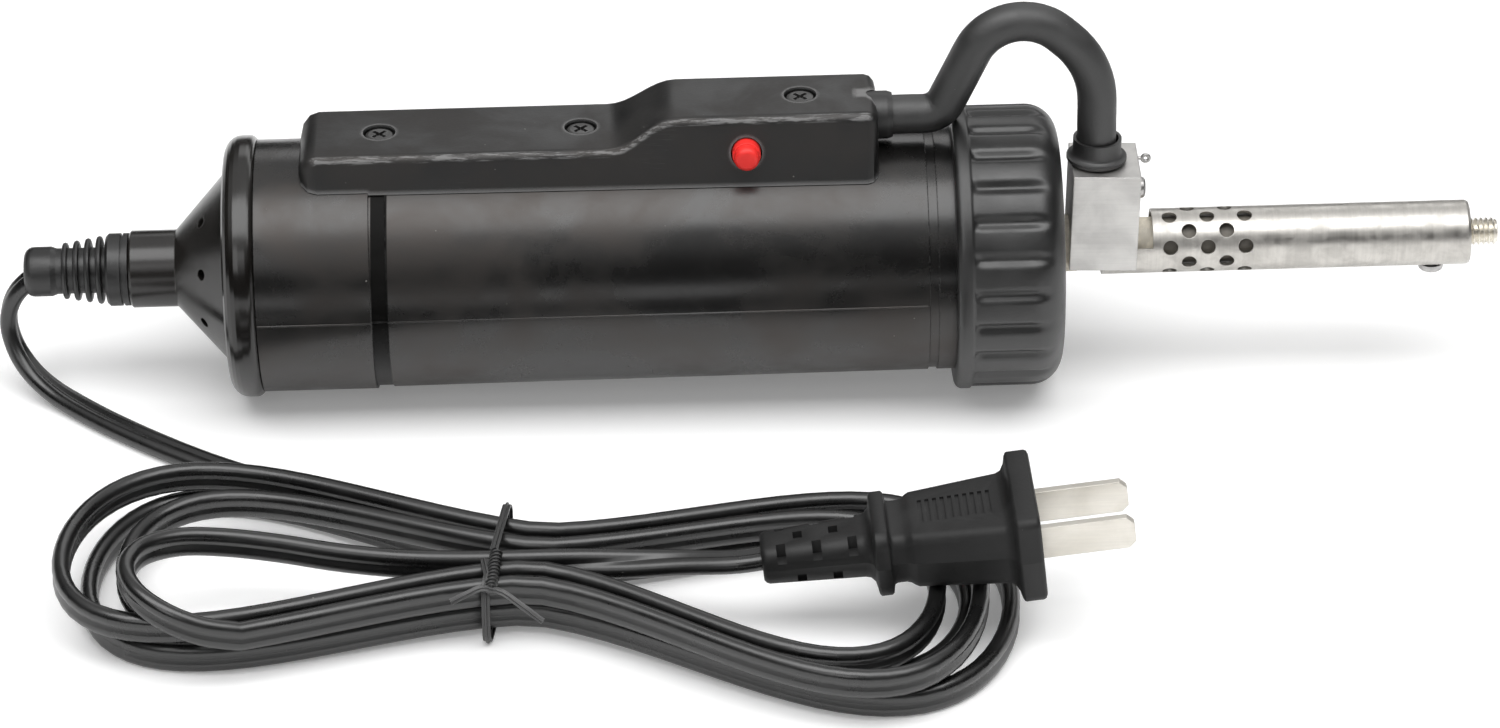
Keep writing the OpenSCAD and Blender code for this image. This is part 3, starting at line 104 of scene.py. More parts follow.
def makeSkin():  # fine moulded grain and slow blotches, from the piece's own coordinates
    settings = {"Grain Scale": 900.0, "Blotch Scale": 40.0}
    tree, start, end = newGroup("moulded skin", settings, ["Grain", "Blotch"])
    spot = addNode(tree, "ShaderNodeTexCoord").outputs["Object"]
    grain = addNode(tree, "ShaderNodeTexNoise", {
        "Vector": spot, "Scale": start["Grain Scale"], "Detail": 3.0})
    blotch = addNode(tree, "ShaderNodeTexNoise", {
        "Vector": spot, "Scale": start["Blotch Scale"], "Detail": 5.0, "Roughness": 0.6, "Distortion": 0.4})
    tree.links.new(grain.outputs[0], end["Grain"])
    tree.links.new(span(tree, blotch.outputs[0], 0.35, 0.68), end["Blotch"])
    return tree


def makeWear():  # mask of the worn corners, broken up so that no edge is evenly rubbed
    tree, start, end = newGroup("edge wear", {"Width": 0.0005, "Break Scale": 500.0, "Cover": 0.5}, ["Mask"])
    bevel = addNode(tree, "ShaderNodeBevel", {"Radius": start["Width"]}, samples=4)
    normal = addNode(tree, "ShaderNodeNewGeometry").outputs["Normal"]
    turned = addNode(tree, "ShaderNodeVectorMath", {0: bevel.outputs[0], 1: normal}, operation="DOT_PRODUCT")
    corner = span(tree, turned.outputs["Value"], 0.985, 0.86)
    spot = addNode(tree, "ShaderNodeTexCoord").outputs["Object"]
    torn = addNode(tree, "ShaderNodeTexNoise", {"Vector": spot, "Scale": start["Break Scale"], "Detail": 4.0,
                                                "Roughness": 0.7})
    limit = calc(tree, "SUBTRACT", 1.0, start["Cover"])
    kept = span(tree, calc(tree, "SUBTRACT", torn.outputs[0], calc(tree, "MULTIPLY", limit, 0.8)), 0.0, 0.12)
    tree.links.new(calc(tree, "MULTIPLY", corner, kept), end["Mask"])
    return tree


def makeDust():  # sparse specks of dust, each with its own size
    tree, start, end = newGroup("dust specks", {"Scale": 300.0, "Share": 0.1}, ["Mask"])
    spot = addNode(tree, "ShaderNodeTexCoord").outputs["Object"]
    cell = addNode(tree, "ShaderNodeTexVoronoi", {"Vector": spot, "Scale": start["Scale"]})
    split = addNode(tree, "ShaderNodeSeparateColor", {0: cell.outputs["Color"]})
    chosen = calc(tree, "LESS_THAN", split.outputs[0], start["Share"])
    size = calc(tree, "MULTIPLY_ADD", split.outputs[1], 0.07, 0.02)
    near = span(tree, calc(tree, "SUBTRACT", cell.outputs["Distance"], size), 0.02, 0.0)
    tree.links.new(calc(tree, "MULTIPLY", near, chosen), end["Mask"])
    return tree


def makeScratches():  # thin lines where a stretched noise passes its middle value
    settings = {"Stretch": (60.0, 60.0, 600.0), "Thin": 0.012, "Cover": 0.4}
    tree, start, end = newGroup("fine scratches", settings, ["Mask"])
    spot = addNode(tree, "ShaderNodeTexCoord").outputs["Object"]
    pulled = addNode(tree, "ShaderNodeVectorMath", {0: spot, 1: start["Stretch"]}, operation="MULTIPLY")
    lines = addNode(tree, "ShaderNodeTexNoise", {"Vector": pulled.outputs[0], "Scale": 1.0, "Detail": 2.0})
    off = calc(tree, "ABSOLUTE", calc(tree, "SUBTRACT", lines.outputs[0], 0.5))
    line = addNode(tree, "ShaderNodeMapRange", {0: off, 1: 0.0, 2: start["Thin"], 3: 1.0, 4: 0.0})
    patch = addNode(tree, "ShaderNodeTexNoise", {"Vector": spot, "Scale": 70.0, "Detail": 2.0})
    share = calc(tree, "MULTIPLY", start["Cover"], 0.5)
    shown = span(tree, patch.outputs[0], calc(tree, "SUBTRACT", 0.85, share), 0.9)
    tree.links.new(calc(tree, "MULTIPLY", line.outputs[0], shown), end["Mask"])
    return tree


def makeBrushed():  # fine parallel lines left by a tool, stretched across the direction of the lines
    tree, start, end = newGroup("tool lines", {"Stretch": (3000.0, 60.0, 60.0)}, ["Lines", "Bands"])
    spot = addNode(tree, "ShaderNodeTexCoord").outputs["Object"]
    pulled = addNode(tree, "ShaderNodeVectorMath", {0: spot, 1: start["Stretch"]}, operation="MULTIPLY")
    lines = addNode(tree, "ShaderNodeTexNoise", {"Vector": pulled.outputs[0], "Scale": 1.0, "Detail": 4.0,
                                                 "Roughness": 0.65})
    slow = addNode(tree, "ShaderNodeVectorMath", {0: pulled.outputs[0], 1: (0.12, 0.5, 0.5)},
                   operation="MULTIPLY")
    bands = addNode(tree, "ShaderNodeTexNoise", {"Vector": slow.outputs[0], "Scale": 1.0, "Detail": 2.0})
    tree.links.new(lines.outputs[0], end["Lines"])
    tree.links.new(bands.outputs[0], end["Bands"])
    return tree


skinGroup = makeSkin()
wearGroup = makeWear()
dustGroup = makeDust()
scratchGroup = makeScratches()
brushedGroup = makeBrushed()
print("node groups made")


# Materials

def startMaterial(name):
    mat = bpy.data.materials.new(name)
    mat.use_nodes = True
    tree = mat.node_tree
    tree.nodes.clear()
    shader = addNode(tree, "ShaderNodeBsdfPrincipled")
    out = addNode(tree, "ShaderNodeOutputMaterial")
    tree.links.new(shader.outputs[0], out.inputs[0])
    return mat, tree, shader


def gray(level, warm=0.0):
    return (level * (1 + warm), level, level * (1 - warm), 1.0)


def plastic(name, color, worn, rough=0.35, roughMore=0.12, grain=0.3, grainScale=1500.0, blotchScale=40.0,
            wear=0.4, wearWidth=0.0004, dust=0.02, dustScale=520.0, scratch=0.35,
            stretch=(45.0, 900.0, 900.0), rounding=0.0, shine=0.8, scuffed=0.0, glare=(1.0, 1.0, 1.0, 1.0)):
    mat, tree, shader = startMaterial(name)
    skin = place(tree, skinGroup, Grain_Scale=grainScale, Blotch_Scale=blotchScale)
    rubbed = place(tree, wearGroup, Width=wearWidth, Cover=wear)["Mask"]
    specks = place(tree, dustGroup, Scale=dustScale, Share=dust)["Mask"]
    lines = place(tree, scratchGroup, Stretch=stretch, Cover=scratch)["Mask"]
    lighter = tuple(min(1.0, c * 1.7 + 0.002) for c in color[:3]) + (1.0,)
    base = blendColor(tree, skin["Blotch"], color, lighter)
    marks = calc(tree, "MAXIMUM", calc(tree, "MULTIPLY", rubbed, 0.8), calc(tree, "MULTIPLY", lines, 0.35))
    if scuffed:  # pale streaks along edges whose surface turns from up to sideways
        normal = addNode(tree, "ShaderNodeNewGeometry").outputs["Normal"]
        turned = addNode(tree, "ShaderNodeSeparateXYZ", {0: normal})
        edge = calc(tree, "ABSOLUTE", calc(tree, "MULTIPLY", turned.outputs[1], turned.outputs[2]))
        spot = addNode(tree, "ShaderNodeTexCoord").outputs["Object"]
        pulled = addNode(tree, "ShaderNodeVectorMath", {0: spot, 1: (150.0, 1400.0, 1400.0)},
                         operation="MULTIPLY")
        streaks = addNode(tree, "ShaderNodeTexNoise", {
            "Vector": pulled.outputs[0], "Scale": 1.0, "Detail": 4.0, "Roughness": 0.7})
        rub = calc(tree, "MULTIPLY", span(tree, edge, 0.26, 0.46), span(tree, streaks.outputs[0], 0.47, 0.60))
        marks = calc(tree, "MAXIMUM", marks, calc(tree, "MULTIPLY", rub, scuffed))
    base = blendColor(tree, marks, base, worn)
    base = blendColor(tree, calc(tree, "MULTIPLY", specks, 0.75), base, (0.22, 0.215, 0.20, 1.0))
    tree.links.new(base, shader.inputs["Base Color"])
    level = calc(tree, "MULTIPLY_ADD", skin["Blotch"], roughMore, rough)
    level = calc(tree, "MULTIPLY_ADD", skin["Grain"], 0.06, level)
    level = calc(tree, "MAXIMUM", level, calc(tree, "MULTIPLY", calc(tree, "MAXIMUM", marks, specks), 0.7))
    tree.links.new(level, shader.inputs["Roughness"])
    height = calc(tree, "MULTIPLY_ADD", skin["Grain"], grain, calc(tree, "MULTIPLY", lines, -0.5))
    height = calc(tree, "ADD", height, specks)
    bump = addNode(tree, "ShaderNodeBump", {"Height": height, "Strength": 0.6, "Distance": 0.00006})
    if rounding:
        soft = addNode(tree, "ShaderNodeBevel", {"Radius": rounding}, samples=4)
        tree.links.new(soft.outputs[0], bump.inputs["Normal"])
    tree.links.new(bump.outputs[0], shader.inputs["Normal"])
    shader.inputs["Specular IOR Level"].default_value = shine
    tint = blendColor(tree, skin["Blotch"], (1.0, 1.0, 1.0, 1.0), glare)
    tree.links.new(tint, shader.inputs["Specular Tint"])
    return mat


def metal(name, color, dark, rough=0.2, roughMore=0.15, stretch=(3000.0, 60.0, 60.0), lines=0.4,
          blotchScale=90.0, wear=0.3, wearWidth=0.0002, scratch=0.4, scratchStretch=(900.0, 60.0, 60.0),
          rounding=0.0, stain=0.5):
    mat, tree, shader = startMaterial(name)
    skin = place(tree, skinGroup, Grain_Scale=2500.0, Blotch_Scale=blotchScale)
    tool = place(tree, brushedGroup, Stretch=stretch)
    rubbed = place(tree, wearGroup, Width=wearWidth, Cover=wear)["Mask"]
    cuts = place(tree, scratchGroup, Stretch=scratchStretch, Cover=scratch)["Mask"]
    base = blendColor(tree, calc(tree, "MULTIPLY", skin["Blotch"], stain), color, dark)
    shade = blendColor(tree, span(tree, tool["Lines"], 0.3, 0.7), gray(0.86), gray(1.0))
    base = addNode(tree, "ShaderNodeMix", {0: lines, 6: base, 7: shade}, data_type="RGBA",
                   blend_type="MULTIPLY").outputs[2]
    base = blendColor(tree, calc(tree, "MULTIPLY", rubbed, 0.7), base, (0.95, 0.94, 0.92, 1.0))
    base = blendColor(tree, calc(tree, "MULTIPLY", cuts, 0.5), base, dark)
    tree.links.new(base, shader.inputs["Base Color"])
    shader.inputs["Metallic"].default_value = 1.0
    level = calc(tree, "MULTIPLY_ADD", skin["Blotch"], roughMore, rough)
    level = calc(tree, "MULTIPLY_ADD", tool["Lines"], 0.1, level)
    level = calc(tree, "MULTIPLY_ADD", cuts, 0.2, level)
    tree.links.new(level, shader.inputs["Roughness"])
    height = calc(tree, "MULTIPLY_ADD", tool["Lines"], lines, calc(tree, "MULTIPLY", cuts, -0.6))
    height = calc(tree, "MULTIPLY_ADD", tool["Bands"], 0.6, height)
    bump = addNode(tree, "ShaderNodeBump", {"Height": height, "Strength": 0.5, "Distance": 0.00004})
    if rounding:
        soft = addNode(tree, "ShaderNodeBevel", {"Radius": rounding}, samples=4)
        tree.links.new(soft.outputs[0], bump.inputs["Normal"])
    tree.links.new(bump.outputs[0], shader.inputs["Normal"])
    return mat


finish = {
    "barrel": plastic(
        "satin black shell", gray(0.0050, 0.04), gray(0.05), rough=0.20, roughMore=0.22, grain=0.2,
        blotchScale=34.0, rounding=0.0003, dust=0.014, shine=0.70, glare=(1.0, 0.90, 0.84, 1.0)),
    "handle": plastic(
        "black handle shell", gray(0.0055), gray(0.20), rough=0.32, roughMore=0.18, grain=0.45,
        blotchScale=60.0, wear=0.7, wearWidth=0.0012, dust=0.03, scratch=0.5, shine=0.62, scuffed=0.75,
        glare=(1.0, 0.94, 0.90, 1.0)),
    "rearCap": plastic(
        "glossy rear shell", gray(0.0060, 0.12), gray(0.05, 0.1), rough=0.12, roughMore=0.1, shine=0.62,
        grain=0.05, blotchScale=50.0, dust=0.03, rounding=0.0003),
    "frontCap": plastic(
        "ribbed cap shell", gray(0.0075), gray(0.06), rough=0.34, roughMore=0.12, grain=0.5,
        blotchScale=80.0, dust=0.03, shine=0.85),
    "rubber": plastic(
        "boot rubber", gray(0.0055), gray(0.04), rough=0.36, roughMore=0.14, grain=0.8,
        grainScale=2200.0, blotchScale=150.0, dust=0.015, scratch=0.0, wear=0.2, shine=0.7),
    "sleeve": plastic(
        "sleeve rubber", gray(0.017), gray(0.12), rough=0.40, roughMore=0.16, grain=0.9,
        grainScale=1800.0, blotchScale=110.0, dust=0.12, dustScale=700.0, scratch=0.25,
        stretch=(160.0, 160.0, 500.0), wear=0.2, shine=0.9),
    "collar": plastic(
        "sleeve collar shell", gray(0.007), gray(0.08), rough=0.35, grain=0.8, grainScale=900.0),
    "screwBlack": plastic(
        "blackened screw", gray(0.012, 0.05), gray(0.14), rough=0.3, roughMore=0.2, grain=0.4,
        blotchScale=300.0, wear=0.6, wearWidth=0.0003, shine=1.0),
    "button": plastic(
        "red button", (0.80, 0.020, 0.016, 1.0), (0.85, 0.16, 0.12, 1.0), rough=0.36, roughMore=0.1,
        grain=0.2, wear=0.25, dust=0.01, scratch=0.1, rounding=0.0002, shine=0.5),
    "switch": plastic("switch body plastic", gray(0.03), gray(0.1), rough=0.5),
    "cord": plastic(
        "cord sheath", gray(0.0045), gray(0.04), rough=0.22, roughMore=0.12, grain=0.3,
        grainScale=1400.0, blotchScale=60.0, dust=0.02, dustScale=600.0, scratch=0.15, wear=0.0,
        shine=0.85),
    "tie": plastic(
        "tie strip", gray(0.008), gray(0.10), rough=0.34, roughMore=0.1, grain=0.6, wear=0.6,
        wearWidth=0.0003, dust=0.02),
    "plug": plastic(
        "plug moulding", gray(0.008), gray(0.05), rough=0.48, roughMore=0.1, grain=0.6,
        grainScale=1300.0, blotchScale=90.0, dust=0.015, wear=0.3, shine=0.45),
    "seal": plastic("seal rubber", (0.20, 0.045, 0.02, 1.0), (0.3, 0.1, 0.06, 1.0), rough=0.5),
    "gasket": plastic("gasket rubber", gray(0.035, 0.1), gray(0.08), rough=0.6),
    "felt": plastic(
        "filter felt", (0.62, 0.56, 0.42, 1.0), (0.7, 0.66, 0.55, 1.0), rough=0.9, roughMore=0.05,
        grain=3.0, grainScale=1200.0, blotchScale=200.0, scratch=0.0),
    "bobbin": plastic("bobbin plastic", (0.65, 0.60, 0.48, 1.0), (0.75, 0.72, 0.62, 1.0), rough=0.45),
    "ceramic": plastic(
        "ceramic", (0.50, 0.46, 0.38, 1.0), (0.34, 0.30, 0.23, 1.0), rough=0.5, grain=1.0,
        grainScale=1800.0, blotchScale=220.0, dust=0.0, wear=0.5, wearWidth=0.0003),
    "bracket": metal(
        "bracket steel", (0.66, 0.65, 0.63, 1.0), (0.54, 0.53, 0.52, 1.0), rough=0.38, roughMore=0.1,
        stretch=(80.0, 80.0, 2600.0), lines=0.5, scratchStretch=(500.0, 60.0, 60.0), rounding=0.0004,
        blotchScale=160.0),
    "heater": metal(
        "heater nickel", (0.62, 0.60, 0.565, 1.0), (0.43, 0.415, 0.39, 1.0), rough=0.27, roughMore=0.18,
        stretch=(1500.0, 40.0, 40.0), lines=0.7, scratch=0.8, scratchStretch=(700.0, 120.0, 120.0),
        rounding=0.0002, blotchScale=260.0),
    "screwSteel": metal(
        "bright screw steel", (0.50, 0.49, 0.48, 1.0), (0.25, 0.25, 0.25, 1.0), rough=0.24,
        blotchScale=600.0, rounding=0.0001),
    "stud": metal(
        "nozzle stud nickel", (0.86, 0.83, 0.76, 1.0), (0.62, 0.58, 0.50, 1.0), rough=0.2,
        blotchScale=500.0),
    "blade": metal(
        "blade nickel", (0.76, 0.73, 0.67, 1.0), (0.64, 0.61, 0.54, 1.0), rough=0.33, roughMore=0.12,
        stretch=(90.0, 1500.0, 1500.0), lines=0.5, rounding=0.0003, scratchStretch=(90.0, 500.0, 700.0)),
    "spring": metal("spring steel", (0.6, 0.6, 0.6, 1.0), (0.3, 0.3, 0.3, 1.0), rough=0.25),
    "pump": metal("pump alloy", (0.62, 0.62, 0.63, 1.0), (0.45, 0.45, 0.46, 1.0), rough=0.3),
    "piston": metal("piston alloy", (0.45, 0.45, 0.46, 1.0), (0.3, 0.3, 0.3, 1.0), rough=0.3),
    "iron": metal(
        "soft iron", (0.40, 0.40, 0.41, 1.0), (0.22, 0.2, 0.19, 1.0), rough=0.38, roughMore=0.2),
    "pipe": metal(
        "suction pipe steel", (0.62, 0.60, 0.56, 1.0), (0.3, 0.27, 0.22, 1.0), rough=0.28,
        blotchScale=300.0),
    "copper": metal(
        "winding copper", (0.62, 0.26, 0.12, 1.0), (0.40, 0.14, 0.06, 1.0), rough=0.3,
        stretch=(2600.0, 40.0, 40.0), lines=1.0),
}
print("materials made", len(finish))


# Each CAD piece and the finish that it gets, also of those that a finer piece stands for further down
dressed = {
    "barrel": "barrel", "rear_cap": "rearCap", "strain_relief": "rubber", "handle_screws": "screwBlack",
    "push_button": "button", "switch_body": "switch", "sleeve_collar": "collar", "sleeve_foot": "sleeve",
    "front_cap": "frontCap", "head_bracket": "bracket", "clamp_screw": "screwSteel",
    "split_pin": "screwSteel", "heater_tube": "heater", "ceramic_tube": "ceramic",
    "ceramic_washer": "ceramic", "nozzle_stud": "stud", "set_screw": "screwSteel", "suction_pipe": "pipe",
    "gasket": "gasket", "filter_pad": "felt", "pump_cylinder": "pump", "piston": "piston",
    "piston_seal": "seal", "plunger": "iron", "coil_bobbin": "bobbin", "coil_winding": "copper",
    "solenoid_can": "iron", "pole_piece": "iron", "plug_blades": "blade",
    "handle_cover": "handle", "return_spring": "spring", "button_spring": "spring", "wire_sleeve": "sleeve",
    "cord_lead": "cord", "cord_hank": "cord", "cord_tail": "cord", "cord_tie": "tie", "plug_body": "plug",
}
for node, look in dressed.items():
    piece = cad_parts[node]
    for index in range(len(piece.data.materials)):
        piece.data.materials[index] = finish[look]


# Small tools for meshes

def newPiece(name, points, faces, look, sharp=40.0):
    mesh = bpy.data.meshes.new(name)
    mesh.from_pydata([tuple(p) for p in points], [], faces)
    work = bmesh.new()
    work.from_mesh(mesh)
    bmesh.ops.remove_doubles(work, verts=work.verts, dist=1e-7)
    bmesh.ops.recalc_face_normals(work, faces=work.faces)
    work.to_mesh(mesh)
    work.free()
    mesh.shade_smooth()
    mesh.set_sharp_from_angle(angle=math.radians(sharp))
    mesh.materials.append(finish[look])
    piece = bpy.data.objects.new(name, mesh)
    bpy.context.scene.collection.objects.link(piece)
    return piece


def skinRings(rings, first=0):  # a tube through rings of the same number of points, closed at both ends
    n = len(rings[0])
    points = [p for ring in rings for p in ring]
    faces = []
    for j in range(len(rings) - 1):
        for i in range(n):
            k, near, far = (i + 1) % n, first + j * n, first + (j + 1) * n
            faces.append((near + i, far + i, far + k, near + k))
    faces.append(tuple(first + i for i in range(n)))
    faces.append(tuple(first + (len(rings) - 1) * n + i for i in reversed(range(n))))
    return points, faces


def loopRings(rings):  # a turned hollow form: the last ring joins the first
    n = len(rings[0])
    points = [p for ring in rings for p in ring]
    faces = []
    for j in range(len(rings)):
        m = (j + 1) % len(rings)
        faces += [(j * n + i, m * n + i, m * n + (i + 1) % n, j * n + (i + 1) % n) for i in range(n)]
    return points, faces


def smooth(places, steps):  # the same smooth curve through listed points as the part's own source
    out = []
    last = len(places) - 1
    for i in range(last):
        a, b, c, d = places[max(i - 1, 0)], places[i], places[i + 1], places[min(i + 2, last)]
        for j in range(steps):
            s = j / steps
            out.append([(2 * q + s * (r - p) + s * s * (2 * p - 5 * q + 4 * r - t)
                         + s ** 3 * (3 * q - p - 3 * r + t)) / 2 for p, q, r, t in zip(a, b, c, d)])
    return out + [list(places[last])]


def sweep(path, outline):  # rings along [x, y, z, turn, lean] in mm, the broad way of the outline first
    rings = []
    for i, q in enumerate(path):
        before, after = path[max(i - 1, 0)], path[min(i + 1, len(path) - 1)]
        ahead = (Vector(after[:3]) - Vector(before[:3])).normalized()
        lean, turn = math.radians(q[4]), math.radians(q[3])
        side = Vector((-math.sin(lean), 0, math.cos(lean))).cross(ahead).normalized()
        up = ahead.cross(side)
        broad = side * math.cos(turn) + up * math.sin(turn)
        thin = up * math.cos(turn) - side * math.sin(turn)
        rings.append([(Vector(q[:3]) + broad * u + thin * v) * mm for u, v in outline])
    return rings


def bakeModifiers(piece):
    graph = bpy.context.evaluated_depsgraph_get()
    mesh = bpy.data.meshes.new_from_object(piece.evaluated_get(graph), depsgraph=graph)
    piece.modifiers.clear()
    piece.data = mesh


def smoothCopy(node, name, sharp):  # a copy of a CAD piece whose small facets shade as curves
    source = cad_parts[node].data
    work = bmesh.new()
    work.from_mesh(source)
    bmesh.ops.remove_doubles(work, verts=work.verts, dist=1e-6)
    points = [v.co.copy() for v in work.verts]
    faces = [[v.index for v in f.verts] for f in work.faces]
    work.free()
    piece = newPiece(name, points, faces, dressed[node], sharp=sharp)
    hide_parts(node)
    return piece


# Camera, at the photograph's angle
view = {
    "place": (-0.02853, -1.00742, 0.58028), "target": (-0.00239, 0.0, 0.001896), "roll": -0.053,
    "lens": 139.99, "sensor": 36.0, "farEnd": 20.0,
}
camera = bpy.data.objects.new("camera", bpy.data.cameras.new("camera"))
bpy.context.scene.collection.objects.link(camera)
camera.location = view["place"]
aim = (Vector(view["target"]) - Vector(view["place"])).to_track_quat("-Z", "Y").to_euler()
camera.rotation_euler = aim
camera.rotation_euler.rotate_axis("Z", math.radians(view["roll"]))
camera.data.lens = view["lens"]
camera.data.sensor_width = view["sensor"]
camera.data.clip_end = view["farEnd"]
bpy.context.scene.camera = camera
print("camera set")


# Cord: a flat twin flex, from the boot down to the table, through the hank and up to the plug
cord = {
    "width": 5.7, "thickness": 3.3, "groove": 132.0, "stepsPerTurn": 96, "smoothing": 5,
    "lead": [
        (-139.5, 0, 25.3, 0, 0), (-143.4, 0, 23.8, 0, 25), (-146.6, 0.2, 20.8, 0, 45),
        (-148.4, 0.4, 17.2, 0, 70), (-148.9, 0.2, 13.6, 0, 90), (-148.2, -0.8, 10.2, 0, 110),
        (-146.6, -2.4, 7.2, 0, 130), (-144, -4.8, 4.6, 0, 145), (-140.4, -8, 2.8, 0, 160),
        (-136, -12, 1.9, 0, 175), (-128.4, -19.4, 1.7, 0, 180), (-119, -27.6, 1.7, 0, 180),
        (-109.4, -35, 1.7, 0, 180), (-99.8, -42.4, 2.2, 15, 180), (-91, -49, 2.8, 55, 180)],
    "tail": [
        (-104.8, -111.2, 11.4, 90, 180), (-111.4, -110, 13.8, 90, 180), (-117, -105.4, 15.7, 90, 180),
        (-119.2, -98, 16.2, 90, 180), (-116.8, -90.8, 15.9, 90, 180), (-110.4, -86, 15, 90, 180),
        (-102, -84.4, 13.8, 90, 180), (-92, -84.8, 12.6, 90, 180), (-81, -86.4, 11.4, 90, 180),
        (-70, -87.6, 10.7, 90, 180), (-59, -88, 10.4, 90, 180), (-48, -88, 10.4, 85, 180),
        (-37, -88.6, 10.7, 65, 180), (-27, -90.2, 11.5, 35, 180), (-17.6, -92, 12.7, 10, 180)],
    "plugStart": (-2.7, -94.3, 14.8), "plugTilt": 6.5, "plugYaw": 1.5, "inPlug": 3,
}
hank = {
    "middle": (-44, -86.5), "turn": -7.5, "from": 118.0, "turns": 3.7, "length": 181.0, "spread": 60.0,
    "waist": 11.2, "stepEnd": 8.0, "stepWaist": 5.2, "stepSpread": 8.0, "rise": 6.3, "bulge": 0.3,
    "back": 5.0, "side": 4.0, "tieLift": 1.3,
}


def hankTurned(along, across):  # from the hank's own two directions to places on the table, in mm
    turn = math.radians(hank["turn"])
    return (hank["middle"][0] + along * math.cos(turn) - across * math.sin(turn),
            hank["middle"][1] + along * math.sin(turn) + across * math.cos(turn))


def hankAt(t):  # a point of the hank after t turns: in along the lower layer, up, and out again
    inward = (hank["turns"] - 0.5) / 2
    climbed = min(1.0, max(0.0, 2 * (t - inward)))
    loops = t if t < inward else inward if t < inward + 0.5 else hank["turns"] - t
    loops += hank["bulge"] * math.sin(math.pi * climbed)
    a = math.radians(hank["from"] - 360 * t)
    layer = (1 - math.cos(math.pi * climbed)) / 2
    end = abs(math.cos(a))
    wide = end ** 1.5
    along = (hank["length"] / 2 - hank["stepEnd"] * loops) * math.cos(a) - hank["back"] * layer * end
    spread = (hank["spread"] - hank["stepSpread"] * loops) * wide
    across = math.sin(a) * (hank["waist"] - hank["stepWaist"] * loops + spread) - hank["side"] * layer * wide
    high = cord["width"] / 2 + hank["rise"] * layer + hank["tieLift"] * abs(math.sin(a)) ** 8
    return (*hankTurned(along, across), high, 90, 180)


def plugFrame():  # start of the plug and its three directions
    tilt, yaw = math.radians(cord["plugTilt"]), math.radians(cord["plugYaw"])
    along = Vector((math.cos(tilt) * math.cos(yaw), math.cos(tilt) * math.sin(yaw), math.sin(tilt)))
    across = Vector((-math.sin(yaw), math.cos(yaw), 0))
    return Vector(cord["plugStart"]), along, across, along.cross(across)


def cordRoute():  # the whole length as [x, y, z, turn, lean] in mm
    rings = math.floor(cord["stepsPerTurn"] * hank["turns"] / 4) * 4
    middle = [hankAt(i / cord["stepsPerTurn"]) for i in range(rings + 1)]
    plugAt, along, across, up = plugFrame()
    before = plugAt - along * cord["width"]
    inside = plugAt + along * cord["inPlug"]
    lead = smooth(cord["lead"] + [middle[0]], cord["smoothing"])
    ends = [(*before, 0, 180), (*plugAt, 0, 180)]
    tail = smooth([middle[-1]] + cord["tail"] + ends, cord["smoothing"])
    return lead[:-1] + middle + tail[1:] + [[*inside, 0, 180]]


def twinOutline(width, thickness, groove):  # two round cores with a shallow groove between them
    r = thickness / 2
    c = width / 2 - r
    steps = 11
    arc = [math.radians(-groove + 2 * groove * i / steps) for i in range(steps + 1)]
    right = [(c + r * math.cos(a), r * math.sin(a)) for a in arc]
    return right + [(-x, -y) for x, y in right]


route = cordRoute()
outline = twinOutline(cord["width"], cord["thickness"], cord["groove"])
cordPoints, cordFaces = skinRings(sweep(route, outline))
cordPiece = newPiece("cord", cordPoints, cordFaces, "cord", sharp=38.0)
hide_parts("cord_lead", "cord_hank", "cord_tail")
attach(cordPiece, "housing")


# Twist tie: a thin strip round the waist of the hank, twisted on top, with two loose ends
tie = {
    "along": -8.0, "half": 15.3, "low": 0.3, "high": 13.9, "corner": 3.4, "width": 1.5, "thick": 0.7,
    "twistFrom": (-6.9, -5.2, 14.9), "twistTo": (-6.6, -15.6, 13.1), "twistTurns": 5.5, "twistRadius": 0.62,
    "twistSteps": 60, "twistWidth": 0.7, "leftEnd": (-13.6, -18.4, 11.6), "rightEnd": (3.6, -20.0, 9.6),
    "endSteps": 8, "endWidth": 0.8, "endArch": 1.1, "endWave": 0.2,
}


def hankPlace(along, across, high):  # a place in the hank's own directions, in mm
    return Vector((*hankTurned(along, across), high))


def stripRings(path, wide, width, thick):  # a strip with a wire core, its wide way given at each point
    rings = []
    for i, p in enumerate(path):
        ahead = (path[min(i + 1, len(path) - 1)] - path[max(i - 1, 0)]).normalized()
        across = (wide[i] - ahead * wide[i].dot(ahead)).normalized()
        up = ahead.cross(across)
        shape = [(0.5, 0.3), (0.2, 0.35), (0.1, 0.85), (-0.1, 0.85), (-0.2, 0.35), (-0.5, 0.3)]
        shape += [(-x, -y) for x, y in shape]
        rings.append([(p + across * x * width + up * y * thick) * mm for x, y in shape])
    return rings


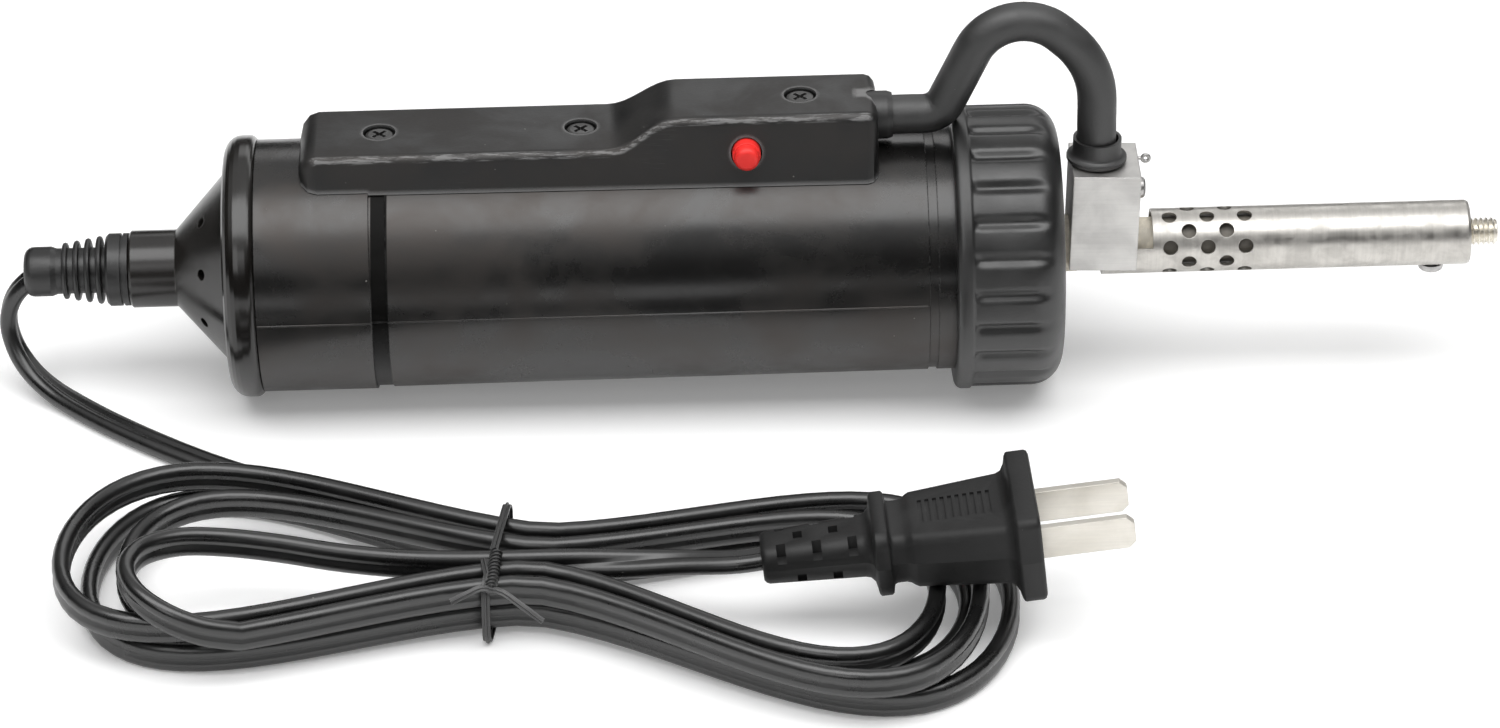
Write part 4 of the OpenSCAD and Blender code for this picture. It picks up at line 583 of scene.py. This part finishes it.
def makeTie():
    points, faces = [], []

    def addStrip(path, wide, width, thick):
        more, skin = skinRings(stripRings(path, wide, width, thick), len(points))
        points.extend(more)
        faces.extend(skin)

    half, low, high, r = tie["half"], tie["low"], tie["high"], tie["corner"]
    corners = ((half - r, high - r, 90), (half - r, low + r, 0), (-half + r, low + r, -90),
               (-half + r, high - r, -180))
    loop = []
    for cx, cz, first in corners:
        for k in range(7):
            a = math.radians(first - 15 * k)
            loop.append((cx + r * math.cos(a), cz + r * math.sin(a)))
    start, near = tie["twistFrom"], tie["along"] + 0.4
    places = [(near, start[1] + 1.2, start[2] - 0.5)] + [(near, y, z) for y, z in loop]
    places += [(tie["along"] - 1.0, start[1] - 1.2, start[2] - 1.3)]
    path = [hankPlace(*p) for p in places]
    flat = hankPlace(1, 0, 0) - hankPlace(0, 0, 0)
    addStrip(path, [flat] * len(path), tie["width"], tie["thick"])
    a, b = hankPlace(*tie["twistFrom"]), hankPlace(*tie["twistTo"])
    axis = (b - a).normalized()
    one = axis.cross(Vector((1, 0, 0))).normalized()
    two = axis.cross(one)
    for phase in (0.0, math.pi):
        coil, wide = [], []
        steps = tie["twistSteps"]
        for k in range(steps + 1):
            turn = phase + 2 * math.pi * tie["twistTurns"] * k / steps
            out = one * math.cos(turn) + two * math.sin(turn)
            coil.append(a + (b - a) * (k / steps) + out * tie["twistRadius"])
            wide.append(axis + out.cross(axis) * 0.5)
        addStrip(coil, wide, tie["width"] * tie["twistWidth"], tie["thick"])
    for target, bend in ((tie["leftEnd"], -1.0), (tie["rightEnd"], 1.0)):
        end = hankPlace(*target)
        leg, wide = [], []
        for k in range(tie["endSteps"] + 1):
            s = k / tie["endSteps"]
            middle = b.lerp(end, s)
            arch = tie["endArch"] * math.sin(math.pi * min(1.0, s * 1.15)) * (1 - 0.3 * s)
            middle.z += arch + tie["endWave"] * math.sin(9 * s)
            leg.append(middle)
            wide.append(Vector((0.2 * bend, 0.75, 0.45 + 0.5 * s)))
        addStrip(leg, wide, tie["width"] * tie["endWidth"], tie["thick"])
    return newPiece("cord_twist_tie", points, faces, "tie", sharp=35.0)


tiePiece = makeTie()
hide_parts("cord_tie")
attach(tiePiece, "housing")
print("tie made")


# Plug: a slotted grip, a disc, a waist, a ribbed body and a face flange
plug = {
    "grip": 20.6, "gripWidth": (9.6, 2.8), "gripHeight": (7.6, 1.4),  # at its start, and what it grows by
    "slots": {"shares": (0.18, 0.5, 0.82), "across": 1.7, "tall": 5.4, "deep": 1.2, "between": 3.3},
    "ribs": 10, "ribsFrom": 29.6, "ribPitch": 1.4, "ribGap": 0.75, "ribHalf": 3.9, "ribLift": 5.4,
    "ribRise": 0.036, "bladePitch": 12.7, "bladeHole": (0.83, 3.26), "bladeHoleX": (44.9, 52.0),
    "ridge": {"from": 1.0, "to": 50.0, "high": 0.09, "end": 0.02, "half": 0.14},
    "softness": 0.14, "sharp": 50,
}
plugRings = [  # places along the plug, each with its width, height and corner radius
    (0.0, 8.4, 6.4, 2.2), (0.35, 9.2, 7.2, 2.4), (1.0, 9.75, 7.7, 2.6), (10.0, 11.0, 8.3, 2.9),
    (18.6, 12.1, 8.85, 3.1), (19.6, 12.7, 9.2, 3.2), (20.3, 14.2, 10.3, 3.3), (20.6, 16.6, 12.0, 3.2),
    (20.75, 18.2, 13.0, 3.0), (21.1, 19.0, 13.6, 3.0), (23.1, 19.0, 13.6, 3.0), (23.45, 18.4, 13.1, 2.9),
    (23.6, 17.2, 12.0, 2.8), (23.8, 16.0, 10.8, 2.6), (24.3, 15.6, 10.4, 2.5), (26.0, 15.6, 10.4, 2.5),
    (26.8, 16.0, 10.7, 2.4), (27.5, 16.9, 11.2, 2.2), (28.2, 17.5, 11.5, 2.0), (44.6, 21.6, 12.5, 2.2),
    (45.6, 22.4, 13.1, 2.3), (46.3, 24.2, 14.8, 2.2), (46.6, 26.0, 16.6, 2.0), (46.9, 26.8, 17.4, 1.9),
    (47.2, 27.0, 17.6, 1.8), (50.4, 27.0, 17.6, 1.8), (50.9, 26.6, 17.2, 1.7), (51.2, 25.4, 16.0, 1.4),
]


def roundedOutline(w, h, r, ridge):  # a rounded rectangle with a fine mould line on both sides
    out = []
    thin = plug["ridge"]["half"]
    for cx, cy, start in ((w / 2 - r, h / 2 - r, 0), (-w / 2 + r, h / 2 - r, 90),
                          (-w / 2 + r, -h / 2 + r, 180), (w / 2 - r, -h / 2 + r, 270)):
        for k in range(7):
            a = math.radians(start + 15 * k)
            out.append((cx + r * math.cos(a), cy + r * math.sin(a)))
        if start == 90:
            out += [(-w / 2, thin), (-w / 2 - ridge, 0.0), (-w / 2, -thin)]
    return out + [(w / 2, -thin), (w / 2 + ridge, 0.0), (w / 2, thin)]


def boxFaces(a, b, first):  # a block between two opposite corners
    low, high = [min(pair) for pair in zip(a, b)], [max(pair) for pair in zip(a, b)]
    corners = [(x, y, z) for x in (low[0], high[0]) for y in (low[1], high[1]) for z in (low[2], high[2])]
    sides = [(0, 1, 3, 2), (4, 6, 7, 5), (0, 4, 5, 1), (2, 3, 7, 6), (0, 2, 6, 4), (1, 5, 7, 3)]
    return corners, [tuple(first + i for i in f) for f in sides]


def plugCuts():  # blocks cut from the plug: slots of the grip, gaps between the ribs, holes of the blades
    blocks = []
    slots = plug["slots"]
    thin, tall, deep = slots["across"] / 2, slots["tall"] / 2, slots["deep"]
    for i, share in enumerate(slots["shares"]):
        x = plug["grip"] * share
        small = x + slots["between"]
        w = plug["gripWidth"][0] + plug["gripWidth"][1] * share
        h = plug["gripHeight"][0] + plug["gripHeight"][1] * share
        for y in (-1, 1):  # tall slots over the upper edges, small ones between them above and below
            blocks.append(((x - thin, y * (w / 2 - tall), h / 2 - tall), (x + thin, y * w, h)))
            if i < 2:
                blocks.append(((small - thin, y * (w / 2 - deep), -h / 4 - deep),
                               (small + thin, y * w, -h / 4 + deep * 0.6)))
        if i < 2:
            blocks.append(((small - thin, -deep, h / 2 - deep), (small + thin, deep, h)))
    for i in range(plug["ribs"]):
        x, half = plug["ribsFrom"] + i * plug["ribPitch"], plug["ribHalf"]
        lift = plug["ribLift"] + plug["ribRise"] * i
        for side in (-1, 1):
            blocks.append(((x, -half, side * lift), (x + plug["ribGap"], half, side * 9)))
    (thick, wide), (rear, front) = plug["bladeHole"], plug["bladeHoleX"]
    for y in (-1, 1):
        mid = y * plug["bladePitch"] / 2
        blocks.append(((rear, mid - thick, -wide), (front, mid + thick, wide)))
    return blocks


def makePlug():
    at, along, across, up = plugFrame()

    def put(x, y, z):
        return (at + along * x + across * y + up * z) * mm

    ridge = plug["ridge"]
    rings = []
    for x, w, h, r in plugRings:
        high = ridge["high"] if ridge["from"] < x < ridge["to"] else ridge["end"]
        rings.append([put(x, y, z) for y, z in roundedOutline(w, h, r, high)])
    points, faces = skinRings(rings)
    piece = newPiece("plug_moulding", points, faces, "plug", sharp=plug["sharp"])
    cutPoints, cutFaces = [], []
    for a, b in plugCuts():
        corners, sides = boxFaces(a, b, len(cutPoints))
        cutPoints += [put(*c) for c in corners]
        cutFaces += sides
    cutter = newPiece("plug_cutter", cutPoints, cutFaces, "plug")
    cut = piece.modifiers.new("cut", "BOOLEAN")
    cut.operation, cut.object, cut.solver = "DIFFERENCE", cutter, "EXACT"
    soft = piece.modifiers.new("soft", "BEVEL")
    soft.width, soft.segments = plug["softness"] * mm, 2
    soft.limit_method, soft.angle_limit = "ANGLE", math.radians(plug["sharp"])
    bakeModifiers(piece)
    bpy.data.objects.remove(cutter)
    piece.data.set_sharp_from_angle(angle=math.radians(plug["sharp"]))
    return piece


plugPiece = makePlug()
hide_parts("plug_body")
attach(plugPiece, "housing")
print("plug made")


# The tool lies tilted by about one degree, on the lip of its front cap and the rim of its rear cap
tool = {"tilt": 0.9615450285644105, "axisHeight": 25.015186372759604, "half": 145.0}


def onTool(x, y, z):  # from mm along, beside and above the middle of the barrel to the shared frame
    c, s = math.cos(math.radians(tool["tilt"])), math.sin(math.radians(tool["tilt"]))
    return Vector((x * c - z * s - tool["half"], y, tool["axisHeight"] + x * s + z * c)) * mm


def tintAlong(look, name, low, high, color):  # another colour on one socket, between two places along X
    tree = finish[look].node_tree
    shader = next(node for node in tree.nodes if node.type == "BSDF_PRINCIPLED")
    before = shader.inputs[name].links[0].from_socket
    spot = addNode(tree, "ShaderNodeTexCoord").outputs["Object"]
    along = addNode(tree, "ShaderNodeSeparateXYZ", {0: spot}).outputs[0]
    start, end = span(tree, along, low, low + 0.0002), span(tree, along, high, high + 0.0002, 1.0, 0.0)
    inside = calc(tree, "MULTIPLY", start, end)
    tree.links.new(blendColor(tree, inside, before, color), shader.inputs[name])


# The groove round the barrel gets a painted dark reflection, standing for the dark side of the room; the
# ceramic inside the heater tube gets painted shade
groove = {"from": 68.8, "to": 72.0, "tint": gray(0.05)}
# painted shade of the ceramic inside the heater tube: where it starts, how far it runs and its colour
tubeShade = {"from": 0.0005, "length": 0.2, "color": (0.17, 0.155, 0.13, 1.0)}
# painted reflection: the barrel's specular tint is darkened along the groove band to stand for a dark
# reflection
tintAlong("barrel", "Specular Tint", onTool(groove["from"], 0, 0)[0], onTool(groove["to"], 0, 0)[0],
          groove["tint"])
heaterPoints = [point.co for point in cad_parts["heater_tube"].data.vertices]
heaterTop = max(point.z for point in heaterPoints) - 0.004  # above this height the tube has no tongue
heaterStart = min(point.x for point in heaterPoints if point.z > heaterTop)
# painted shade: the ceramic's colour is darkened where it lies inside the heater tube
tintAlong("ceramic", "Base Color", heaterStart + tubeShade["from"], heaterStart + tubeShade["length"], tubeShade["color"])
print("colours along the tool set")


# Wire sleeve: a rubber tube out of the handle, over the cap and down to the bracket
sleeve = {
    "from": 163.5, "height": 29.6, "leaves": 167.8, "diameter": 7.7, "sides": 32, "dent": 0.006,
    "bends": [(9.1, 5.0, 64.4), (11.6, -10.7, 106.5), (2.1, -18.0, 47.9)],  # straight run, radius, turn
    "foot": 18.5, "bendsFrom": 175.0, "bendsTo": 207.5,
}


def sleeveLine():  # places along and above the barrel, each with the angle of the way on
    x, z, aimAngle = sleeve["leaves"], sleeve["height"], 0.0
    line = [(sleeve["from"], z, 0.0), (sleeve["leaves"], z, 0.0)]
    for run, r, turn in sleeve["bends"]:
        for k in range(1, 5):
            line.append((x + run * k / 4 * math.cos(aimAngle), z + run * k / 4 * math.sin(aimAngle),
                         aimAngle))
        x, z = line[-1][0], line[-1][1]
        cx, cz = x - r * math.sin(aimAngle), z + r * math.cos(aimAngle)
        steps = max(4, int(turn / 5))
        for k in range(1, steps + 1):
            a = aimAngle + math.copysign(math.radians(turn), r) * k / steps
            line.append((cx + r * math.sin(a), cz - r * math.cos(a), a))
        x, z, aimAngle = line[-1]
    steps = 8
    line += [(x, z + (sleeve["foot"] - z) * k / steps, aimAngle) for k in range(1, steps + 1)]
    return line


def makeSleeve():
    rings = []
    r = sleeve["diameter"] / 2
    for i, (x, z, a) in enumerate(sleeveLine()):
        ring = []
        for k in range(sleeve["sides"]):
            b = 2 * math.pi * k / sleeve["sides"]
            dented = min(1.0, 1 + sleeve["dent"] * math.sin(2.1 * i + 0.3) * math.sin(b + 0.2 * i))
            out = dented * r * math.cos(b)
            ring.append(onTool(x - out * math.sin(a), dented * r * math.sin(b), z + out * math.cos(a)))
        rings.append(ring)
    points, faces = skinRings(rings)
    return newPiece("rubber_sleeve", points, faces, "sleeve", sharp=60.0)


sleevePiece = makeSleeve()
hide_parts("wire_sleeve")
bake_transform(sleevePiece)
print("sleeve made")


# Handle: the CAD form with its ramp and rounded edges shaded smoothly
handlePiece = smoothCopy("handle_cover", "handle_shell", 34.0)
weights = handlePiece.modifiers.new("weights", "WEIGHTED_NORMAL")
weights.keep_sharp = True
bakeModifiers(handlePiece)
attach(handlePiece, "housing")
print("handle made")


# Mould line: a fine raised rib along both sides of the barrel, at the height of its axis
seam = {
    "profile": [(46.7, 24.8), (68.7, 24.8), (68.9, 24.2), (71.9, 24.2), (72.1, 24.5), (176.6, 24.08)],
    "width": 0.42, "high": 0.16,
}


def makeSeams():
    points, faces = [], []
    for side in (-1, 1):
        rings = []
        for x, r in seam["profile"]:
            w, h = seam["width"] / 2, seam["high"]
            shape = [(-w, -0.2), (-w, 0.0), (-w / 2, h * 0.8), (0, h), (w / 2, h * 0.8), (w, 0.0), (w, -0.2)]
            rings.append([onTool(x, side * (r + out), up) for up, out in shape])
        more, skin = skinRings(rings, len(points))
        points += more
        faces += skin
    return newPiece("barrel_mould_lines", points, faces, "barrel", sharp=70.0)


seamPiece = makeSeams()
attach(seamPiece, "housing")
print("mould lines made")


# Front cap: broad ribs with soft grooves between them, which fade out at the shoulder
cap = {
    "rear": 182.2, "front": 203.4, "radius": 28.1, "lip": 3.6, "lipRound": 1.4, "shoulder": 6.2, "ribs": 24,
    "ribDrop": 0.4, "grooveDeep": 0.85, "grooveShare": 0.24, "hollow": 0.12, "fadeFrom": 196.6,
    "fadeTo": 201.4, "sidesPerRib": 14, "bore": 24.1, "step": 184.05, "thread": 23.25, "face": 200.4,
    "hole": 6.5,
}


def capOutline():  # places and radii of the outside, from the rear edge of the lip to the front face
    points = [(cap["rear"], cap["radius"] - cap["lipRound"])]
    for k in range(1, 6):
        a = math.radians(18 * k)
        points.append((cap["rear"] + cap["lipRound"] * (1 - math.cos(a)),
                       cap["radius"] - cap["lipRound"] * (1 - math.sin(a))))
    start, straight = cap["rear"] + cap["lip"], cap["front"] - cap["shoulder"]
    points += [(start - 0.9, cap["radius"]), (start - 0.55, cap["radius"] - 0.1),
               (start - 0.3, cap["radius"] - cap["ribDrop"])]
    points += [(start + (straight - start) * k / 14, cap["radius"] - cap["ribDrop"]) for k in range(15)]
    for k in range(1, 13):
        a = math.radians(7.5 * k)
        points.append((straight + cap["shoulder"] * math.sin(a),
                       cap["radius"] - cap["ribDrop"] - cap["shoulder"] * (1 - math.cos(a))))
    return points


def grooveDepth(x, angle):  # narrow grooves, and between them ribs that are slightly rounded
    away = abs((angle / (2 * math.pi) * cap["ribs"]) % 1.0 - 0.5)
    dip = max(0.0, 1 - away / cap["grooveShare"])
    dip = dip * dip * (3 - 2 * dip) + cap["hollow"] * (1 - math.cos(2 * math.pi * (0.5 - away))) * 0.5
    rise = min(1.0, max(0.0, (x - cap["rear"] - cap["lip"] + 0.3) / 0.6))
    fall = min(1.0, max(0.0, (cap["fadeTo"] - x) / (cap["fadeTo"] - cap["fadeFrom"])))
    return cap["grooveDeep"] * dip * rise * fall * fall * (3 - 2 * fall)


def makeCap():
    n = cap["ribs"] * cap["sidesPerRib"]
    angles = [2 * math.pi * k / n for k in range(n)]
    rings = []
    for x, r in capOutline():
        radii = [r - grooveDepth(x, a) for a in angles]
        rings.append([onTool(x, s * math.cos(a), s * math.sin(a)) for s, a in zip(radii, angles)])
    for x, r in ((cap["front"], cap["hole"]), (cap["face"], cap["hole"]), (cap["face"], cap["thread"]),
                 (cap["step"], cap["thread"]), (cap["step"], cap["bore"]), (cap["rear"], cap["bore"])):
        rings.append([onTool(x, r * math.cos(a), r * math.sin(a)) for a in angles])
    return newPiece("ribbed_cap", *loopRings(rings), "frontCap", sharp=50.0)


capPiece = makeCap()
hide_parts("front_cap")
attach(capPiece, "cap")
print("front cap made")


# Nozzle stud: the holder inside the tube and a screw thread in front of it
stud = {
    "rear": 271.3, "shoulder": 284.3, "front": 290.0, "holder": 5.72, "bore": 1.2, "crest": 2.72, "root": 2.2,
    "pitch": 1.0, "bevel": 0.55, "plain": 0.3, "flat": (1.35, 0.15), "sides": 48, "step": 0.125,
}


def threadRadius(x, angle):  # a helical thread that runs out at both ends
    phase = ((x - stud["shoulder"]) / stud["pitch"] - angle / (2 * math.pi)) % 1.0
    crest = 1 - abs(2 * phase - 1)
    steep, low = stud["flat"]  # cuts the crest and the root of the thread flat
    r = stud["root"] + (stud["crest"] - stud["root"]) * min(1.0, max(0.0, steep * crest - low))
    if x - stud["shoulder"] < stud["plain"]:
        return stud["root"]
    return min(r, stud["crest"] - max(0.0, x - stud["front"] + stud["bevel"]))


def makeStud():
    rings = []
    n = stud["sides"]
    angles = [2 * math.pi * k / n for k in range(n)]

    def addRing(x, radii):
        rings.append([onTool(x, r * math.cos(a), r * math.sin(a)) for r, a in zip(radii, angles)])

    addRing(stud["rear"], [stud["holder"]] * n)
    addRing(stud["shoulder"], [stud["holder"]] * n)
    steps = round((stud["front"] - stud["shoulder"]) / stud["step"])
    for k in range(steps + 1):
        x = stud["shoulder"] + (stud["front"] - stud["shoulder"]) * k / steps
        addRing(x, [threadRadius(x, a) for a in angles])
    addRing(stud["front"], [stud["bore"]] * n)
    addRing(stud["rear"], [stud["bore"]] * n)
    return newPiece("threaded_stud", *loopRings(rings), "stud", sharp=50.0)


studPiece = makeStud()
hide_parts("nozzle_stud")
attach(studPiece, "head")
print("stud made")


# Springs: smoothly shaded copies of the CAD forms, with their placement baked into the mesh

def springCopy(node, name):
    piece = smoothCopy(node, name, 180.0)
    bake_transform(piece)


springCopy("return_spring", "Return_Spring")
springCopy("button_spring", "Button_Spring")
print("springs made")


# Floor, world and lamps
room = {
    "floor": 0.90, "floorHalf": 3.0, "floorSteps": 12, "floorGlow": 0.20, "world": 0.66, "horizon": 0.04,
    "zenith": 1.15,
}
lamps = {  # place, size and power of each, all aimed at the middle of the part
    "top softbox": ((0.0, -0.36, 1.2), (2.0, 0.8), 15.5),
    "front fill": ((-0.6, -1.3, 0.9), (0.8, 0.6), 2.5),
    "rear strip": ((0.4, 1.2, 0.8), (1.4, 0.5), 3.0),
}


def makeFloor():
    half, steps = room["floorHalf"], room["floorSteps"]
    marks = [-half + 2 * half * i / steps for i in range(steps + 1)]
    points = [(x, y, 0.0) for y in marks for x in marks]
    n = steps + 1
    faces = [(j * n + i, j * n + i + 1, (j + 1) * n + i + 1, (j + 1) * n + i)
             for j in range(steps) for i in range(steps)]
    mat, tree, shader = startMaterial("white table")
    skin = place(tree, skinGroup, Grain_Scale=600.0, Blotch_Scale=2.0)
    base = blendColor(tree, skin["Blotch"], gray(room["floor"]), gray(room["floor"] + 0.02))
    tree.links.new(base, shader.inputs["Base Color"])
    shader.inputs["Roughness"].default_value = 0.9
    shader.inputs["Specular IOR Level"].default_value = 0.1
    ray = addNode(tree, "ShaderNodeLightPath").outputs
    mirrored = calc(tree, "MAXIMUM", ray["Is Glossy Ray"], ray["Is Transmission Ray"])
    seen = calc(tree, "MAXIMUM", ray["Is Camera Ray"], mirrored)
    shader.inputs["Emission Color"].default_value = gray(1.0)
    tree.links.new(calc(tree, "MULTIPLY", seen, room["floorGlow"]), shader.inputs["Emission Strength"])
    finish["floor"] = mat
    floor = newPiece("table_top", points, faces, "floor")


def makeWorld():  # dim near the horizon and bright overhead, like a studio with one large overhead window
    world = bpy.data.worlds.new("studio")
    world.use_nodes = True
    tree = world.node_tree
    tree.nodes.clear()
    spot = addNode(tree, "ShaderNodeTexCoord").outputs["Generated"]
    height = addNode(tree, "ShaderNodeSeparateXYZ", {0: spot}).outputs["Z"]
    level = span(tree, height, 0.35, 0.95, room["horizon"], room["zenith"])
    strength = calc(tree, "MULTIPLY", level, room["world"])
    sky = addNode(tree, "ShaderNodeBackground", {"Color": gray(1.0), "Strength": strength})
    out = addNode(tree, "ShaderNodeOutputWorld")
    tree.links.new(sky.outputs[0], out.inputs[0])
    bpy.context.scene.world = world


def areaLamp(name, place, size, power):
    lamp = bpy.data.lights.new(name, "AREA")
    lamp.shape, lamp.size, lamp.size_y, lamp.energy = "RECTANGLE", size[0], size[1], power
    holder = bpy.data.objects.new(name, lamp)
    bpy.context.scene.collection.objects.link(holder)
    holder.location = place
    holder.rotation_euler = (-Vector(place)).to_track_quat("-Z", "Y").to_euler()


makeFloor()
makeWorld()
for name, (spot, size, power) in lamps.items():
    areaLamp(name, spot, size, power)
bpy.context.scene.view_settings.view_transform = "Standard"
print("floor, world and lamps made")
